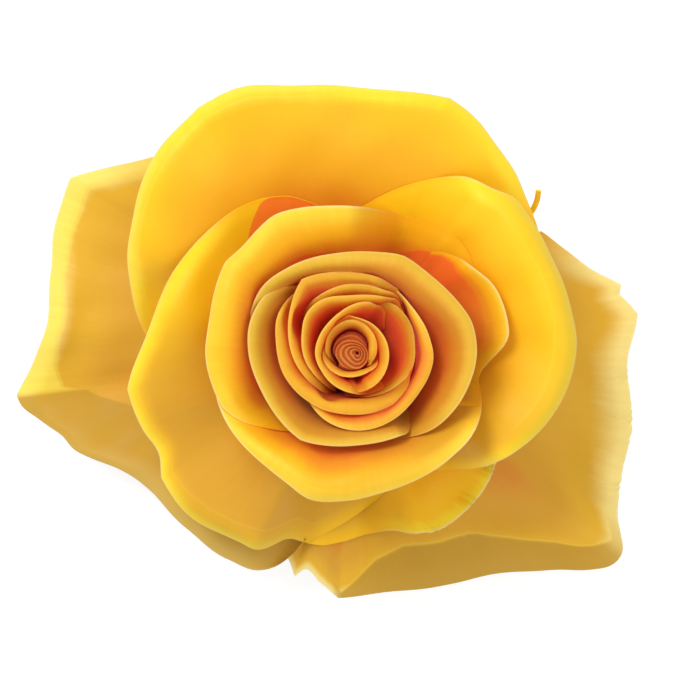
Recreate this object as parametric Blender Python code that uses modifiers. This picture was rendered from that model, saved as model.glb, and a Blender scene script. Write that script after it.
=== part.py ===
"""Cut garden rose, one open bloom cut off close under its hip.

The bloom faces up and stands on its short cut stem and the tips of its turned-down
sepals. Every petal is a thin sheet lofted from its foot on the hip, up a wall that hugs
the petals inside it, to a rim given by a few stations around the flower's axis. Each
station is (angle in degrees, radius in mm, height in mm): angles run anticlockwise from
+X seen from above. Petals are laid from the inside out, each kept clear of the last.
"""
import math

import bmesh
import bpy
import numpy as np

MM = 0.001

# Driving dimensions, in millimetres.
STEM_RADIUS = 3.3
STEM_TOP = 6.0
HIP_BASE = 6.3
HIP_RADIUS = 7.6
HIP_RIM_RADIUS = 9.8
HIP_RIM_HEIGHT = 13.8
DOME_TOP = 19.6
SEAT_GAP = 0.3
SEAT_SHEET_SHARE = 0.35
SHEET = 0.42
GUARD_SHEET = 0.55
SHEET_CLEARANCE = 0.32
OFF_GRID_CLEARANCE = 0.15
WALL_POINTS = 26
LIP_POINTS = 5
SHOULDER_HANDLE = 0.28
COLUMN_STEP = 15.0
TUCK_SWEEP = 30.0
TUCK_SHARE = 0.2
END_MARGIN = 13.0
WALL_RISE = 2.5
CLEAR_ROUNDS = 80
POINT_STEP = 0.7
SPAN_STEP = 0.5
CLEAR_ENOUGH = 0.02
LIP_SLOPE = -0.3
SPAN_REACH = 4.0
ROWS = (0.0, 0.22, 0.42, 0.58, 0.72, 0.84, 0.93, 1.0)
ROW_THICKNESS = np.array((0.5, 0.7, 0.9, 1.0, 1.0, 1.0, 1.0, 1.0))
CORE_INNER = 0.75
CORE_RADIUS = 2.65
CORE_SHEET = 0.34
CORE_TOP = 45.6
CORE_SWEEP = 570
CORE_STEP = 30
CORE_FIRST_ANGLE = 10.0
CORE_FOOT_SHARE = 0.72
CORE_ROWS = (0.0, 0.35, 0.7, 1.0)
TURN_STEPS = 24
TURN_MERGE = 0.00001
SEPAL_COUNT = 5
SEPAL_ROOT_RADIUS = 8.7
SEPAL_ROOT_HEIGHT = 11.2
SEPAL_REACH = 23.0
SEPAL_WIDTH = 7.5
SEPAL_SHEET = 0.8
SEPAL_TIP_HEIGHT = 0.18
SEPAL_FIRST_ANGLE = 20.0
SEPAL_ROWS = 7
SEPAL_ARCH_OUT = (6.0, 1.2)
SEPAL_ARCH_DOWN = (4.0, 9.0)
SEPAL_TAPER = (0.62, 1.1, -1.55)
SEPAL_CUP = 0.12
PETALOID_RADIUS = 0.45
PETALOID_ROUTE = ((37.0, 10.8, 15.6), (37.0, 17.0, 19.8), (37.0, 26.0, 24.0), (37.4, 33.0, 26.8), (37.8, 37.0, 28.6),
                  (38.4, 39.6, 30.0), (39.6, 41.4, 31.8), (41.2, 42.7, 34.2))

YELLOW = (1.0, 0.60, 0.01, 1.0)
GREEN = (0.16, 0.30, 0.06, 1.0)

COLLECTION = "Cut rose"


class Petal:
    """One petal: its rim stations and the way its wall and lip run."""

    def __init__(self, name, whorl, foot, rim, rise, belly, flare, lip, roll, sheet=SHEET, columns=None):
        self.name = name
        self.whorl = whorl
        self.foot = foot
        self.rim = rim
        self.rise = rise
        self.belly = belly
        self.flare = flare
        self.lip = lip
        self.roll = roll
        self.sheet = sheet
        self.on_grid = columns is None
        self.angles = columns or grid_columns(rim)
        self.profiles = {}


def grid_columns(rim):
    """Column angles on the shared grid, so that neighbouring sheets have parallel chords."""
    first = math.ceil(rim[0][0] / COLUMN_STEP - 0.001)
    last = math.floor(rim[-1][0] / COLUMN_STEP + 0.001)
    return [step * COLUMN_STEP for step in range(first, last + 1)]


# Rims from the heart outwards. rise: slope of the wall at its foot; belly: length of the
# handle that bows the wall out; flare: slope just under the lip; roll: slope at the edge.
PETALS = [
    Petal("petal_scroll_inner", 1, 2.4,
          [(-45, 3.4, 44.5), (0, 3.9, 46.5), (45, 4.9, 47), (90, 5.4, 47), (135, 5.0, 47), (180, 4.3, 46.5),
           (195, 4.1, 45)], 84, 12, 80, 0.8, 20),
    Petal("petal_scroll_outer", 1, 2.6,
          [(165, 5.1, 45), (180, 5.1, 47), (225, 4.4, 47.5), (270, 3.9, 47), (315, 4.1, 46.5),
           (345, 4.8, 45)], 84, 12, 80, 0.8, 20),
    Petal("petal_heart_right", 2, 3.2,
          [(-75, 6.2, 46), (-45, 6.5, 48.6), (-15, 6.3, 48.8), (15, 6.2, 49), (45, 6.1, 49), (75, 6.2, 48.4),
           (105, 5.3, 44.5)], 82, 13, 78, 0.9, 0),
    Petal("petal_heart_left", 2, 3.4,
          [(60, 9.2, 46), (75, 8.9, 48), (90, 8.2, 49), (105, 7.4, 49.4), (120, 6.7, 49.5), (150, 6.2, 49.5),
           (180, 6.1, 49.5), (210, 5.9, 49.2), (240, 6.1, 49), (270, 6.5, 48.5), (285, 7.0, 47)],
          82, 13, 76, 1.0, -20),
    Petal("petal_bowl_right", 3, 3.8,
          [(-75, 7.5, 44), (-60, 8.0, 45), (-35, 9.4, 45.5), (-15, 10.5, 46), (8, 10.7, 46), (28, 11.2, 46),
           (50, 11.0, 46), (65, 10.2, 45)], 80, 15, 60, 0.9, 10),
    Petal("petal_bowl_left", 3, 4.1,
          [(45, 11.9, 46), (60, 11.2, 48.5), (90, 9.9, 49.2), (120, 10.5, 49.6), (135, 10.4, 49.8),
           (160, 9.1, 50), (190, 7.9, 49.6), (220, 6.9, 49), (240, 7.1, 47)], 80, 15, 72, 1.0, -10),
    Petal("petal_bowl_top", 3, 4.4,
          [(45, 12.6, 46), (60, 12.1, 48), (75, 12.0, 48.6), (95, 11.8, 49), (120, 11.3, 48.6),
           (135, 11.4, 47)], 80, 15, 66, 1.0, 0),
    Petal("petal_cup_left", 3, 5.0,
          [(135, 15.6, 46), (150, 14.3, 49.8), (173, 12.8, 50.4), (195, 12.1, 50.4), (218, 11.2, 50.2),
           (241, 10.4, 49.8), (263, 9.8, 49.2), (283, 10.2, 48.8), (302, 10.6, 48.4), (320, 10.9, 48),
           (337, 11.3, 46.5)], 78, 16, 62, 1.4, -30),
    Petal("petal_cup_top", 3, 4.8,
          [(45, 13.9, 47), (60, 13.7, 49), (75, 13.7, 50), (90, 13.8, 50.3), (105, 14.2, 50.5),
           (124, 15.1, 50.6), (144, 12.6, 50.4), (176, 10.2, 50), (205, 8.8, 49.6), (221, 8.0, 49),
           (240, 7.3, 45)], 78, 16, 62, 1.2, -10),
    Petal("petal_cup_right", 3, 5.3,
          [(-120, 12.4, 47), (-99, 12.7, 49.2), (-80, 12.9, 49.8), (-52, 13.1, 50.2), (-28, 13.1, 50.6),
           (-6, 13.6, 51), (14, 13.4, 51), (35, 13.0, 50.6), (60, 12.7, 48)], 78, 16, 62, 1.6, -40),
    Petal("petal_ring_lower", 4, 6.0,
          [(135, 17.0, 48), (150, 18.1, 51), (164, 18.0, 51.4), (178, 17.5, 51.4), (202, 16.4, 51.2),
           (231, 16.6, 51), (239, 16.9, 51), (257, 15.9, 50.6), (275, 15.3, 50.2), (307, 16.2, 50),
           (315, 16.4, 48)], 76, 17, 50, 1.7, -30),
    Petal("petal_ring_upper", 4, 6.2,
          [(-30, 19.4, 46), (-15, 20.4, 49.5), (4, 21.1, 51), (14, 20.6, 51.4), (37, 18.9, 51.8),
           (61, 18.7, 52), (79, 17.6, 52), (97, 17.1, 52), (126, 18.1, 51.8), (145, 19.0, 51),
           (150, 19.2, 49)], 76, 17, 46, 2.0, -30),
    Petal("petal_collar_right", 5, 6.8,
          [(-15, 25.0, 44), (3, 26.4, 48), (15, 26.5, 49), (25, 26.1, 49.4), (37, 25.2, 49.4),
           (47, 24.0, 49.4), (61, 23.2, 49), (75, 20.0, 46.6), (90, 16.6, 42)], 70, 17, 45, 1.6, 0),
    Petal("petal_collar_upper", 5, 7.0,
          [(60, 25.6, 47), (78, 25.2, 49.8), (99, 25.3, 51), (110, 26.2, 51.6), (119, 26.8, 51.8),
           (128, 26.2, 52), (144, 26.6, 52), (158, 25.4, 52), (178, 24.8, 51.6), (192, 24.4, 50.6),
           (206, 22.6, 49.4), (215, 19.8, 47), (225, 16.6, 43.5)], 70, 18, 48, 2.4, -50),
    Petal("petal_collar_lower", 5, 7.2,
          [(195, 25.4, 43), (210, 25.0, 47), (219, 24.6, 49), (244, 24.4, 50.8), (260, 25.8, 51.4),
           (267, 25.2, 51.4), (282, 24.2, 51), (300, 23.9, 50), (314, 24.3, 49.4), (330, 23.2, 48),
           (345, 19.4, 44.5)], 70, 18, 42, 2.5, -50),
    Petal("petal_outer_right", 6, 7.6,
          [(-60, 26.0, 34), (-45, 27.4, 38), (-38, 28.4, 40), (-30, 31.2, 41), (-20, 34.4, 41.6),
           (-10, 37.0, 41.6), (1, 38.2, 42), (20, 38.3, 43.4), (29, 38.7, 44), (38, 38.7, 44.6),
           (50, 36.7, 45), (60, 34.6, 45.5), (66, 32.4, 46), (72, 29.4, 46.4), (80, 26.4, 46)],
          62, 24, 24, 3.0, -45, sheet=0.5,
          columns=[-60, -45, -30, -17, -5, 8, 20, 30, 38, 46, 54, 60, 66, 72, 80]),
    Petal("petal_outer_left", 6.2, 7.8,
          [(86, 26.6, 45), (92, 29.6, 44.4), (98, 32.4, 43.6), (106, 34.2, 43), (119, 33.6, 42.6),
           (131, 32.8, 42.2), (143, 33.0, 41.6), (154, 33.3, 41), (164, 34.3, 40), (176, 35.8, 39), (189, 38.8, 37), (200, 38.3, 35),
           (208, 37.6, 32.6), (213, 39.2, 31), (223, 39.0, 30), (237, 38.0, 28), (250, 36.4, 26),
           (262, 35.0, 25)], 60, 24, 14, 3.2, -50, sheet=0.5,
          columns=[86, 92, 98, 106, 119, 131, 143, 154, 165, 177, 189, 201, 213, 225, 238, 250, 262]),
    Petal("petal_outer_lower", 6.4, 7.9,
          [(242, 34.5, 20.5), (256, 34.6, 22), (268, 33.4, 23), (280, 32.6, 23.6), (293, 33.8, 24),
           (301, 33.4, 24.4), (311, 33.2, 26), (321, 30.4, 28), (335, 27.0, 29)], 44, 16, 0, 2.6, -50,
          sheet=0.5, columns=[242, 256, 268, 280, 291, 301, 311, 321, 335]),
    Petal("petal_outer_top", 6.6, 8.1,
          [(34, 38.6, 34), (42, 40.2, 37), (47, 41.6, 39), (54, 43.0, 40.6), (62, 45.3, 41.6),
           (69, 46.8, 42.4), (80, 45.5, 43.4), (91, 45.5, 43.6), (101, 46.7, 43.6), (112, 48.9, 43),
           (122, 49.7, 42), (134, 47.6, 41), (143, 46.0, 39.6), (151, 43.6, 37.4), (158, 41.6, 35),
           (165, 39.4, 32), (176, 35.4, 28)], 58, 24, 20, 3.4, -55, sheet=0.5,
          columns=[34, 42, 51, 60, 69, 80, 91, 101, 112, 122, 133, 143, 154, 165, 176]),
    Petal("petal_guard_left", 7, 8.3,
          [(130, 46.5, 22), (138, 50.5, 19), (148, 58.5, 12), (155, 57.4, 10), (165, 55.4, 9),
           (176, 54.2, 9), (182, 57.0, 5), (187, 60.2, 1.5), (192, 57.0, 4), (196, 53.0, 8),
           (204, 46.9, 12), (213, 43.8, 14), (225, 42.3, 15), (239, 42.2, 15.5), (250, 40.6, 16),
           (256, 38.4, 16)], 24, 12, -4, 7.0, -60, sheet=GUARD_SHEET,
          columns=[130, 139, 148, 156, 166, 176, 182, 187, 191, 196, 204, 213, 225, 239, 250, 256]),
    Petal("petal_guard_right", 7, 8.3,
          [(-108, 38.8, 14), (-100, 40.6, 12), (-93, 43.2, 8), (-79, 42.6, 10), (-66, 44.6, 10), (-56, 46.8, 8.5),
           (-46, 53.2, 4.5), (-41, 57.8, 2.4), (-37.5, 59.8, 1.5), (-33, 56.4, 4), (-28, 53.6, 8),
           (-15, 51.0, 11), (-1, 48.6, 13), (8, 50.8, 12), (13, 48.4, 14), (19, 44.6, 16),
           (26, 41.0, 19), (33, 39.4, 21)], 24, 12, -4, 7.0, -60, sheet=GUARD_SHEET,
          columns=[-108, -100, -93, -79, -66, -56, -47, -41, -37.5, -33, -26, -15, -1, 8, 14, 22, 33]),
]


def dome_height(radius):
    """Height of the hip's rounded top at a radius, in mm."""
    return DOME_TOP - (DOME_TOP - HIP_RIM_HEIGHT) * (radius / HIP_RIM_RADIUS) ** 2


def foot_point(radius, sheet):
    """Middle of a petal's lower edge, seated just over the hip's top."""
    return np.array([radius, dome_height(radius) + SEAT_GAP + SEAT_SHEET_SHARE * sheet])


def bezier(p0, p1, p2, p3, count):
    """Points of a cubic curve with these handles."""
    t = np.linspace(0.0, 1.0, count)[:, None]
    return (1 - t) ** 3 * p0 + 3 * (1 - t) ** 2 * t * p1 + 3 * (1 - t) * t * t * p2 + t ** 3 * p3


def direction(slope):
    """Unit step outward and up at a slope in degrees."""
    angle = math.radians(slope)
    return np.array([math.cos(angle), math.sin(angle)])


def resample(line, fractions):
    """Points of a polyline at fractions of its length."""
    steps = np.hypot(*np.diff(line, axis=0).T)
    along = np.concatenate([[0.0], np.cumsum(steps)])
    wanted = np.asarray(fractions) * along[-1]
    return np.stack([np.interp(wanted, along, line[:, k]) for k in (0, 1)], axis=1)


def desired_profile(petal, angle):
    """Half-plane profile (radius, height) of a petal at an angle, before it is cleared."""
    stations = np.array(petal.rim, dtype=float)
    radius = np.interp(angle, stations[:, 0], stations[:, 1])
    height = np.interp(angle, stations[:, 0], stations[:, 2])
    share = min(min(angle - stations[0, 0], stations[-1, 0] - angle) / TUCK_SWEEP, 1.0)
    lip = petal.lip * (TUCK_SHARE + (1 - TUCK_SHARE) * share)
    high = math.radians(petal.flare)
    low = high + (math.radians(petal.roll) - high) * (TUCK_SHARE + (1 - TUCK_SHARE) * share)
    shoulder = np.array([radius - lip * (math.sin(high) - math.sin(low)),
                         height - lip * (math.cos(low) - math.cos(high))])
    foot = foot_point(petal.foot, petal.sheet)
    reach = np.hypot(*(shoulder - foot))
    wall = bezier(foot, foot + petal.belly * direction(petal.rise),
                  shoulder - SHOULDER_HANDLE * reach * direction(petal.flare), shoulder, WALL_POINTS)
    turn = np.linspace(high, low, LIP_POINTS)[1:]
    arc = shoulder + lip * np.stack([math.sin(high) - np.sin(turn), np.cos(turn) - math.cos(high)], axis=1)
    return resample(np.vstack([wall, arc]), ROWS)


def section(petal, angle):
    """Profile of a laid petal at any angle within it or just past its sides, or None."""
    angles = petal.angles
    if len(petal.profiles) < len(angles):
        return None
    for turn in (-360.0, 0.0, 360.0):
        here = angle + turn
        if angles[0] - END_MARGIN <= here <= angles[-1] + END_MARGIN:
            k = min(max(int(np.searchsorted(angles, here, side="right")) - 1, 0), len(angles) - 2)
            share = min(max((here - angles[k]) / (angles[k + 1] - angles[k]), 0.0), 1.0)
            return (1 - share) * petal.profiles[angles[k]] + share * petal.profiles[angles[k + 1]]
    return None


def barrier(profile):
    """Outer side of a laid profile as a stair: its wall, then out under its lip and up."""
    edge = profile[-1]
    wall = [profile[0]]
    for start, end in zip(profile[:-1], profile[1:]):
        if end[1] > edge[1] and end is not edge:
            share = (edge[1] - start[1]) / (end[1] - start[1]) if end[1] != start[1] else 0.0
            wall.append(start + np.clip(share, 0.0, 1.0) * (end - start))
            break
        wall.append(end)
    if np.hypot(*(edge - wall[-1])) > 0.05:
        wall.append(edge)
    wall.append(np.array([edge[0], max(edge[1], profile[:, 1].max()) + WALL_RISE]))
    return np.array(wall)


def nearest(point, line):
    """Closest span of a line to a point, the share along it, and the offset from it."""
    starts = line[:-1]
    spans = line[1:] - starts
    lengths = np.maximum((spans ** 2).sum(axis=1), 1e-9)
    share = np.clip(((point - starts) * spans).sum(axis=1) / lengths, 0.0, 1.0)
    offsets = point - (starts + share[:, None] * spans)
    distances = (offsets ** 2).sum(axis=1)
    k = int(np.argmin(distances))
    return k, share[k], offsets[k]


def outward(span):
    """Unit normal of a span on its outer side: right of a wall, under a flare."""
    return np.array([span[1], -span[0]]) / max(np.hypot(*span), 1e-6)


def push_points(line, wall, gaps):
    """Push each point of a line that stands closer than its gap outside a laid wall."""
    push = np.zeros_like(line)
    for i, (point, gap) in enumerate(zip(line, gaps)):
        k, share, offset = nearest(point, wall)
        spans = wall[1:] - wall[:-1]
        past_end = k == len(spans) - 1 and share >= 1.0
        corner = share >= 1.0 and not past_end
        normals = [outward(spans[k])] + ([outward(spans[k + 1])] if corner else [])
        side = max(float(np.dot(offset, n)) for n in normals)
        distance = float(np.hypot(*offset))
        if past_end and side > -0.5 * gap:
            continue
        if side >= 0.0 and distance >= gap:
            continue
        if side > 0.0 and distance > 1e-6:
            push[i] = offset / distance * (gap - distance)
        else:
            normal = sum(normals) / np.hypot(*sum(normals))
            push[i] = normal * (gap + distance)
    return push


def push_spans(line, wall, gaps):
    """Push the spans of a line that a laid wall's corners reach, skipping its lip."""
    push = np.zeros_like(line)
    slopes = np.diff(line[:, 1]) / np.maximum(np.hypot(*np.diff(line, axis=0).T), 1e-6)
    last = len(slopes)
    while last > 2 and slopes[last - 1] < LIP_SLOPE:
        last -= 1
    body = line[:last + 1]
    for point in wall[:-1]:
        k, share, offset = nearest(point, body)
        if k == last - 1 and share >= 1.0:
            continue
        normal = outward(body[k + 1] - body[k])
        reach = float(np.dot(offset, normal)) + gaps[k]
        if 0.0 < reach < SPAN_REACH:
            push[k] += normal * reach * (1 - share)
            push[k + 1] += normal * reach * share
    return push


def clear(profile, walls, clearance, sheet):
    """Move a profile outward until it stands clear of every wall already laid."""
    line = profile.copy()
    gaps = clearance + sheet * ROW_THICKNESS
    for _ in range(CLEAR_ROUNDS):
        worst = 0.0
        for wall in walls:
            push = push_points(line, wall, gaps)
            line += POINT_STEP * push
            back = push_spans(line, wall, gaps)
            line += SPAN_STEP * back
            worst = max(worst, np.abs(push).max(), np.abs(back).max())
        line[0] = foot_point(line[0][0], sheet)
        if worst < CLEAR_ENOUGH:
            break
    return line


def rank(petal, angle):
    """Order of a petal at an angle, counted outward, or None where it isn't."""
    stations = np.array(petal.rim, dtype=float)
    for turn in (-360.0, 0.0, 360.0):
        if stations[0, 0] - 0.01 <= angle + turn <= stations[-1, 0] + 0.01:
            return petal.whorl * 100 + np.interp(angle + turn, stations[:, 0], stations[:, 1])
    return None


def lay_petals(core_wall):
    """Fill every petal's profiles: first those on the shared grid, then the outer ones."""
    on_grid = [petal for petal in PETALS if petal.on_grid]
    for step in range(int(360 / COLUMN_STEP)):
        angle = step * COLUMN_STEP
        here = [(rank(petal, angle), k) for k, petal in enumerate(on_grid) if rank(petal, angle) is not None]
        walls = [core_wall]
        for _, k in sorted(here):
            petal = on_grid[k]
            for own in petal.angles:
                if abs((own - angle + 180) % 360 - 180) < 0.01:
                    line = clear(desired_profile(petal, own), walls, SHEET_CLEARANCE, petal.sheet)
                    petal.profiles[own] = line
                    walls.append(barrier(line))
    for petal in (petal for petal in PETALS if not petal.on_grid):
        for angle in petal.angles:
            laid = [section(other, angle) for other in PETALS if other is not petal]
            walls = [core_wall] + [barrier(line) for line in laid if line is not None]
            clearance = SHEET_CLEARANCE + OFF_GRID_CLEARANCE
            petal.profiles[angle] = clear(desired_profile(petal, angle), walls, clearance, petal.sheet)


def polar(radius, angle, height):
    """Point in metres from a radius and height in mm and an angle in degrees."""
    return (radius * MM * math.cos(math.radians(angle)), radius * MM * math.sin(math.radians(angle)),
            height * MM)


def make_material(name, colour, roughness):
    """Plain material of one colour."""
    material = bpy.data.materials.new(name)
    material.use_nodes = True
    shader = material.node_tree.nodes["Principled BSDF"]
    shader.inputs["Base Color"].default_value = colour
    shader.inputs["Roughness"].default_value = roughness
    shader.inputs["Metallic"].default_value = 0.0
    return material


def add_object(name, mesh, collection, material):
    """Object with this mesh or curve and material, in the collection."""
    piece = bpy.data.objects.new(name, mesh)
    mesh.materials.append(material)
    collection.objects.link(piece)
    return piece


def sheet_object(name, columns, thickness, collection, material, shares=None):
    """Loft a sheet through columns of points and give it its thickness, by row if wanted."""
    mesh = bpy.data.meshes.new(name)
    bm = bmesh.new()
    grid = [[bm.verts.new(point) for point in column] for column in columns]
    for left, right in zip(grid[:-1], grid[1:]):
        for k in range(len(left) - 1):
            bm.faces.new((left[k], right[k], right[k + 1], left[k + 1]))
    bm.to_mesh(mesh)
    bm.free()
    piece = add_object(name, mesh, collection, material)
    solid = piece.modifiers.new("Thickness", "SOLIDIFY")
    solid.thickness = thickness * MM
    solid.offset = 0.0
    solid.use_even_offset = True
    if shares is not None:
        group = piece.vertex_groups.new(name="Thickness")
        for k, share in enumerate(shares):
            group.add(range(k, len(mesh.vertices), len(shares)), float(share), "REPLACE")
        solid.vertex_group = group.name
    mesh.shade_smooth()
    return piece


def make_petal(petal, collection, material):
    """Loft a laid petal through its profiles."""
    columns = [[polar(radius, angle, height) for radius, height in petal.profiles[angle]]
               for angle in petal.angles]
    return sheet_object(petal.name, columns, petal.sheet, collection, material, ROW_THICKNESS)


def make_core(collection, material):
    """The furled middle: a sheet rolled into a scroll, open at its top."""
    columns = []
    for angle in range(0, CORE_SWEEP + 1, CORE_STEP):
        share = angle / CORE_SWEEP
        top = CORE_INNER + (CORE_RADIUS - CORE_INNER) * share
        column = []
        for row in CORE_ROWS:
            radius = top * (CORE_FOOT_SHARE + (1 - CORE_FOOT_SHARE) * row)
            height = dome_height(0.0) + SEAT_GAP + (CORE_TOP + share - dome_height(0.0) - SEAT_GAP) * row
            column.append(polar(radius, angle + CORE_FIRST_ANGLE, height))
        columns.append(column)
    return sheet_object("petal_core", columns, CORE_SHEET, collection, material)


def core_wall():
    """Outer side of the core as a laid wall."""
    reach = CORE_RADIUS + CORE_SHEET / 2 - SHEET / 2
    return np.array([[reach * CORE_FOOT_SHARE, dome_height(0.0)], [reach, CORE_TOP + 1], [reach, CORE_TOP + 3]])


def turned_object(name, profile, collection, material):
    """Turn a closed profile of (radius, height) points, listed top to bottom, about Z."""
    mesh = bpy.data.meshes.new(name)
    bm = bmesh.new()
    points = [bm.verts.new((radius * MM, 0.0, height * MM)) for radius, height in profile]
    for first, second in zip(points[:-1], points[1:]):
        bm.edges.new((first, second))
    bm.to_mesh(mesh)
    bm.free()
    piece = add_object(name, mesh, collection, material)
    turn = piece.modifiers.new("Turn", "SCREW")
    turn.axis = "Z"
    turn.steps = turn.render_steps = TURN_STEPS
    turn.use_merge_vertices = True
    turn.merge_threshold = TURN_MERGE
    turn.use_smooth_shade = True
    return piece


def make_hip(collection, material):
    """The hip: a rounded cup whose top carries the petals and whose rim carries the sepals."""
    dome = [(HIP_RIM_RADIUS * k / 5, dome_height(HIP_RIM_RADIUS * k / 5)) for k in range(6)]
    side = [(HIP_RIM_RADIUS - 0.5, HIP_RIM_HEIGHT - 1.3), (HIP_RADIUS, 12.2), (HIP_RADIUS - 0.3, 10.0),
            (HIP_RADIUS - 1.7, 8.0), (STEM_RADIUS + 0.3, HIP_BASE + 0.4), (STEM_RADIUS, HIP_BASE),
            (0.0, HIP_BASE)]
    return turned_object("hip", dome + side, collection, material)


def make_stem(collection, material):
    """The short length of stem left under the hip, cut square."""
    profile = [(0.0, STEM_TOP), (STEM_RADIUS, STEM_TOP), (STEM_RADIUS - 0.15, 0.5 * STEM_TOP),
               (STEM_RADIUS, 0.0), (0.0, 0.0)]
    return turned_object("stem", profile, collection, material)


def make_sepal(index, collection, material):
    """One sepal: a pointed leaf hung from under the hip's rim, its tip on the ground."""
    middle = SEPAL_FIRST_ANGLE + 360.0 / SEPAL_COUNT * index
    spine = bezier(np.array([SEPAL_ROOT_RADIUS, SEPAL_ROOT_HEIGHT]),
                   np.array([SEPAL_ROOT_RADIUS + SEPAL_ARCH_OUT[0], SEPAL_ROOT_HEIGHT + SEPAL_ARCH_OUT[1]]),
                   np.array([SEPAL_REACH - SEPAL_ARCH_DOWN[0], SEPAL_ARCH_DOWN[1]]),
                   np.array([SEPAL_REACH, SEPAL_TIP_HEIGHT]), SEPAL_ROWS)
    start, swell, taper = SEPAL_TAPER
    columns = []
    for side in (-1.0, 0.0, 1.0):
        column = []
        for k, (radius, height) in enumerate(spine):
            share = k / (len(spine) - 1)
            spread = side * 0.5 * SEPAL_WIDTH * (start + swell * share + taper * share ** 2)
            x, y, z = polar(radius, middle, height + SEPAL_CUP * abs(spread) * (1 - share))
            turned = math.radians(middle + 90.0)
            column.append((x + spread * MM * math.cos(turned), y + spread * MM * math.sin(turned), z))
        columns.append(column)
    return sheet_object(f"sepal_{index + 1}", columns, SEPAL_SHEET, collection, material)


def make_petaloid(collection, material):
    """The narrow strip of petal that curls out between two outer petals."""
    curve = bpy.data.curves.new("petaloid", "CURVE")
    curve.dimensions = "3D"
    curve.bevel_depth = PETALOID_RADIUS * MM
    curve.bevel_resolution = 1
    curve.use_fill_caps = True
    spline = curve.splines.new("POLY")
    spline.points.add(len(PETALOID_ROUTE) - 1)
    for point, (angle, radius, height) in zip(spline.points, PETALOID_ROUTE):
        point.co = (*polar(radius, angle, height), 1.0)
    return add_object("petaloid", curve, collection, material)


def centre_outline(pieces):
    """Slide every piece so that the middle of the whole outline stands over the origin."""
    bpy.context.view_layer.update()
    graph = bpy.context.evaluated_depsgraph_get()
    corners = []
    for piece in pieces:
        mesh = piece.evaluated_get(graph).to_mesh()
        corners += [vertex.co.copy() for vertex in mesh.vertices]
        piece.evaluated_get(graph).to_mesh_clear()
    middle = [(min(c[k] for c in corners) + max(c[k] for c in corners)) / 2 for k in (0, 1)]
    low = min(c[2] for c in corners)
    for piece in pieces:
        piece.location = (-middle[0], -middle[1], -low)


def main():
    """Build the whole bloom."""
    for old in list(bpy.data.objects):
        bpy.data.objects.remove(old, do_unlink=True)
    collection = bpy.data.collections.new(COLLECTION)
    bpy.context.scene.collection.children.link(collection)
    lay_petals(core_wall())
    pieces = [make_core(collection, make_material("petal_core", YELLOW, 0.5))]
    for petal in PETALS:
        pieces.append(make_petal(petal, collection, make_material(petal.name, YELLOW, 0.5)))
    pieces.append(make_petaloid(collection, make_material("petaloid", YELLOW, 0.5)))
    pieces.append(make_hip(collection, make_material("hip", GREEN, 0.6)))
    pieces.append(make_stem(collection, make_material("stem", GREEN, 0.6)))
    for index in range(SEPAL_COUNT):
        pieces.append(make_sepal(index, collection, make_material(f"sepal_{index + 1}", GREEN, 0.6)))
    centre_outline(pieces)


main()
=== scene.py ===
"""Open yellow cut rose: a furled heart, ringed whorls, broad outer petals and two guards.

The bloom stands facing up on its cut stem and the tips of its turned-down sepals. Every
petal is laid from the inside out round the flower's axis, so that it hugs the petals it
encloses and stays clear of them, then cut to a petal's outline, rolled at its rim and
given its thickness. Lengths are in millimetres until a mesh is made.
"""
import logging
import math
from dataclasses import dataclass, field
from enum import Enum

import bpy
import numpy as np
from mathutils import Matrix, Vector


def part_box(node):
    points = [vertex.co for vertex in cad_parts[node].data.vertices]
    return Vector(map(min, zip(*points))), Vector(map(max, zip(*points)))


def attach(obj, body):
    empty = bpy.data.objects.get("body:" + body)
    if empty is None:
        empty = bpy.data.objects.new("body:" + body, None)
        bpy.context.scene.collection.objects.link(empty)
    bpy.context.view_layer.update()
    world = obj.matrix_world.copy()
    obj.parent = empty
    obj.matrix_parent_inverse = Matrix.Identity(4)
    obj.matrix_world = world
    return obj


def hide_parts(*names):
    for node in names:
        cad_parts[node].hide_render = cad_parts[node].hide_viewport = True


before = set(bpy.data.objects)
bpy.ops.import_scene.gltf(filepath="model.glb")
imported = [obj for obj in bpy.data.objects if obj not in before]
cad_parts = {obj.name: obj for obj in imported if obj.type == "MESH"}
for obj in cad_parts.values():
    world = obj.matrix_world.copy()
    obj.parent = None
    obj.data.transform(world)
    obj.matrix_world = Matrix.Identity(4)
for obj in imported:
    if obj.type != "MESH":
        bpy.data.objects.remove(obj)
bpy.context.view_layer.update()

MM = 0.001
TURNS = (-360.0, 0.0, 360.0)
TINY = 1e-9
HIP_TOP = 19.6
HIP_RIM_HEIGHT = 13.8
HIP_RIM_RADIUS = 9.8
BODY = "root"

log = logging.getLogger("cut_rose")


class Slot(Enum):
    """The record's material slots."""

    PETAL = "petal"
    GUARD = "guard_petal"
    HEART = "heart_petal"
    HIP = "hip"
    SEPAL = "sepal"
    STEM = "stem"


# ---------------------------------------------------------------- small geometry

def smoothstep(low: float, high: float, x: np.ndarray) -> np.ndarray:
    """Soft ramp from 0 at low to 1 at high."""
    t = np.clip((x - low) / (high - low), 0.0, 1.0)
    return t * t * (3.0 - 2.0 * t)


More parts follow.
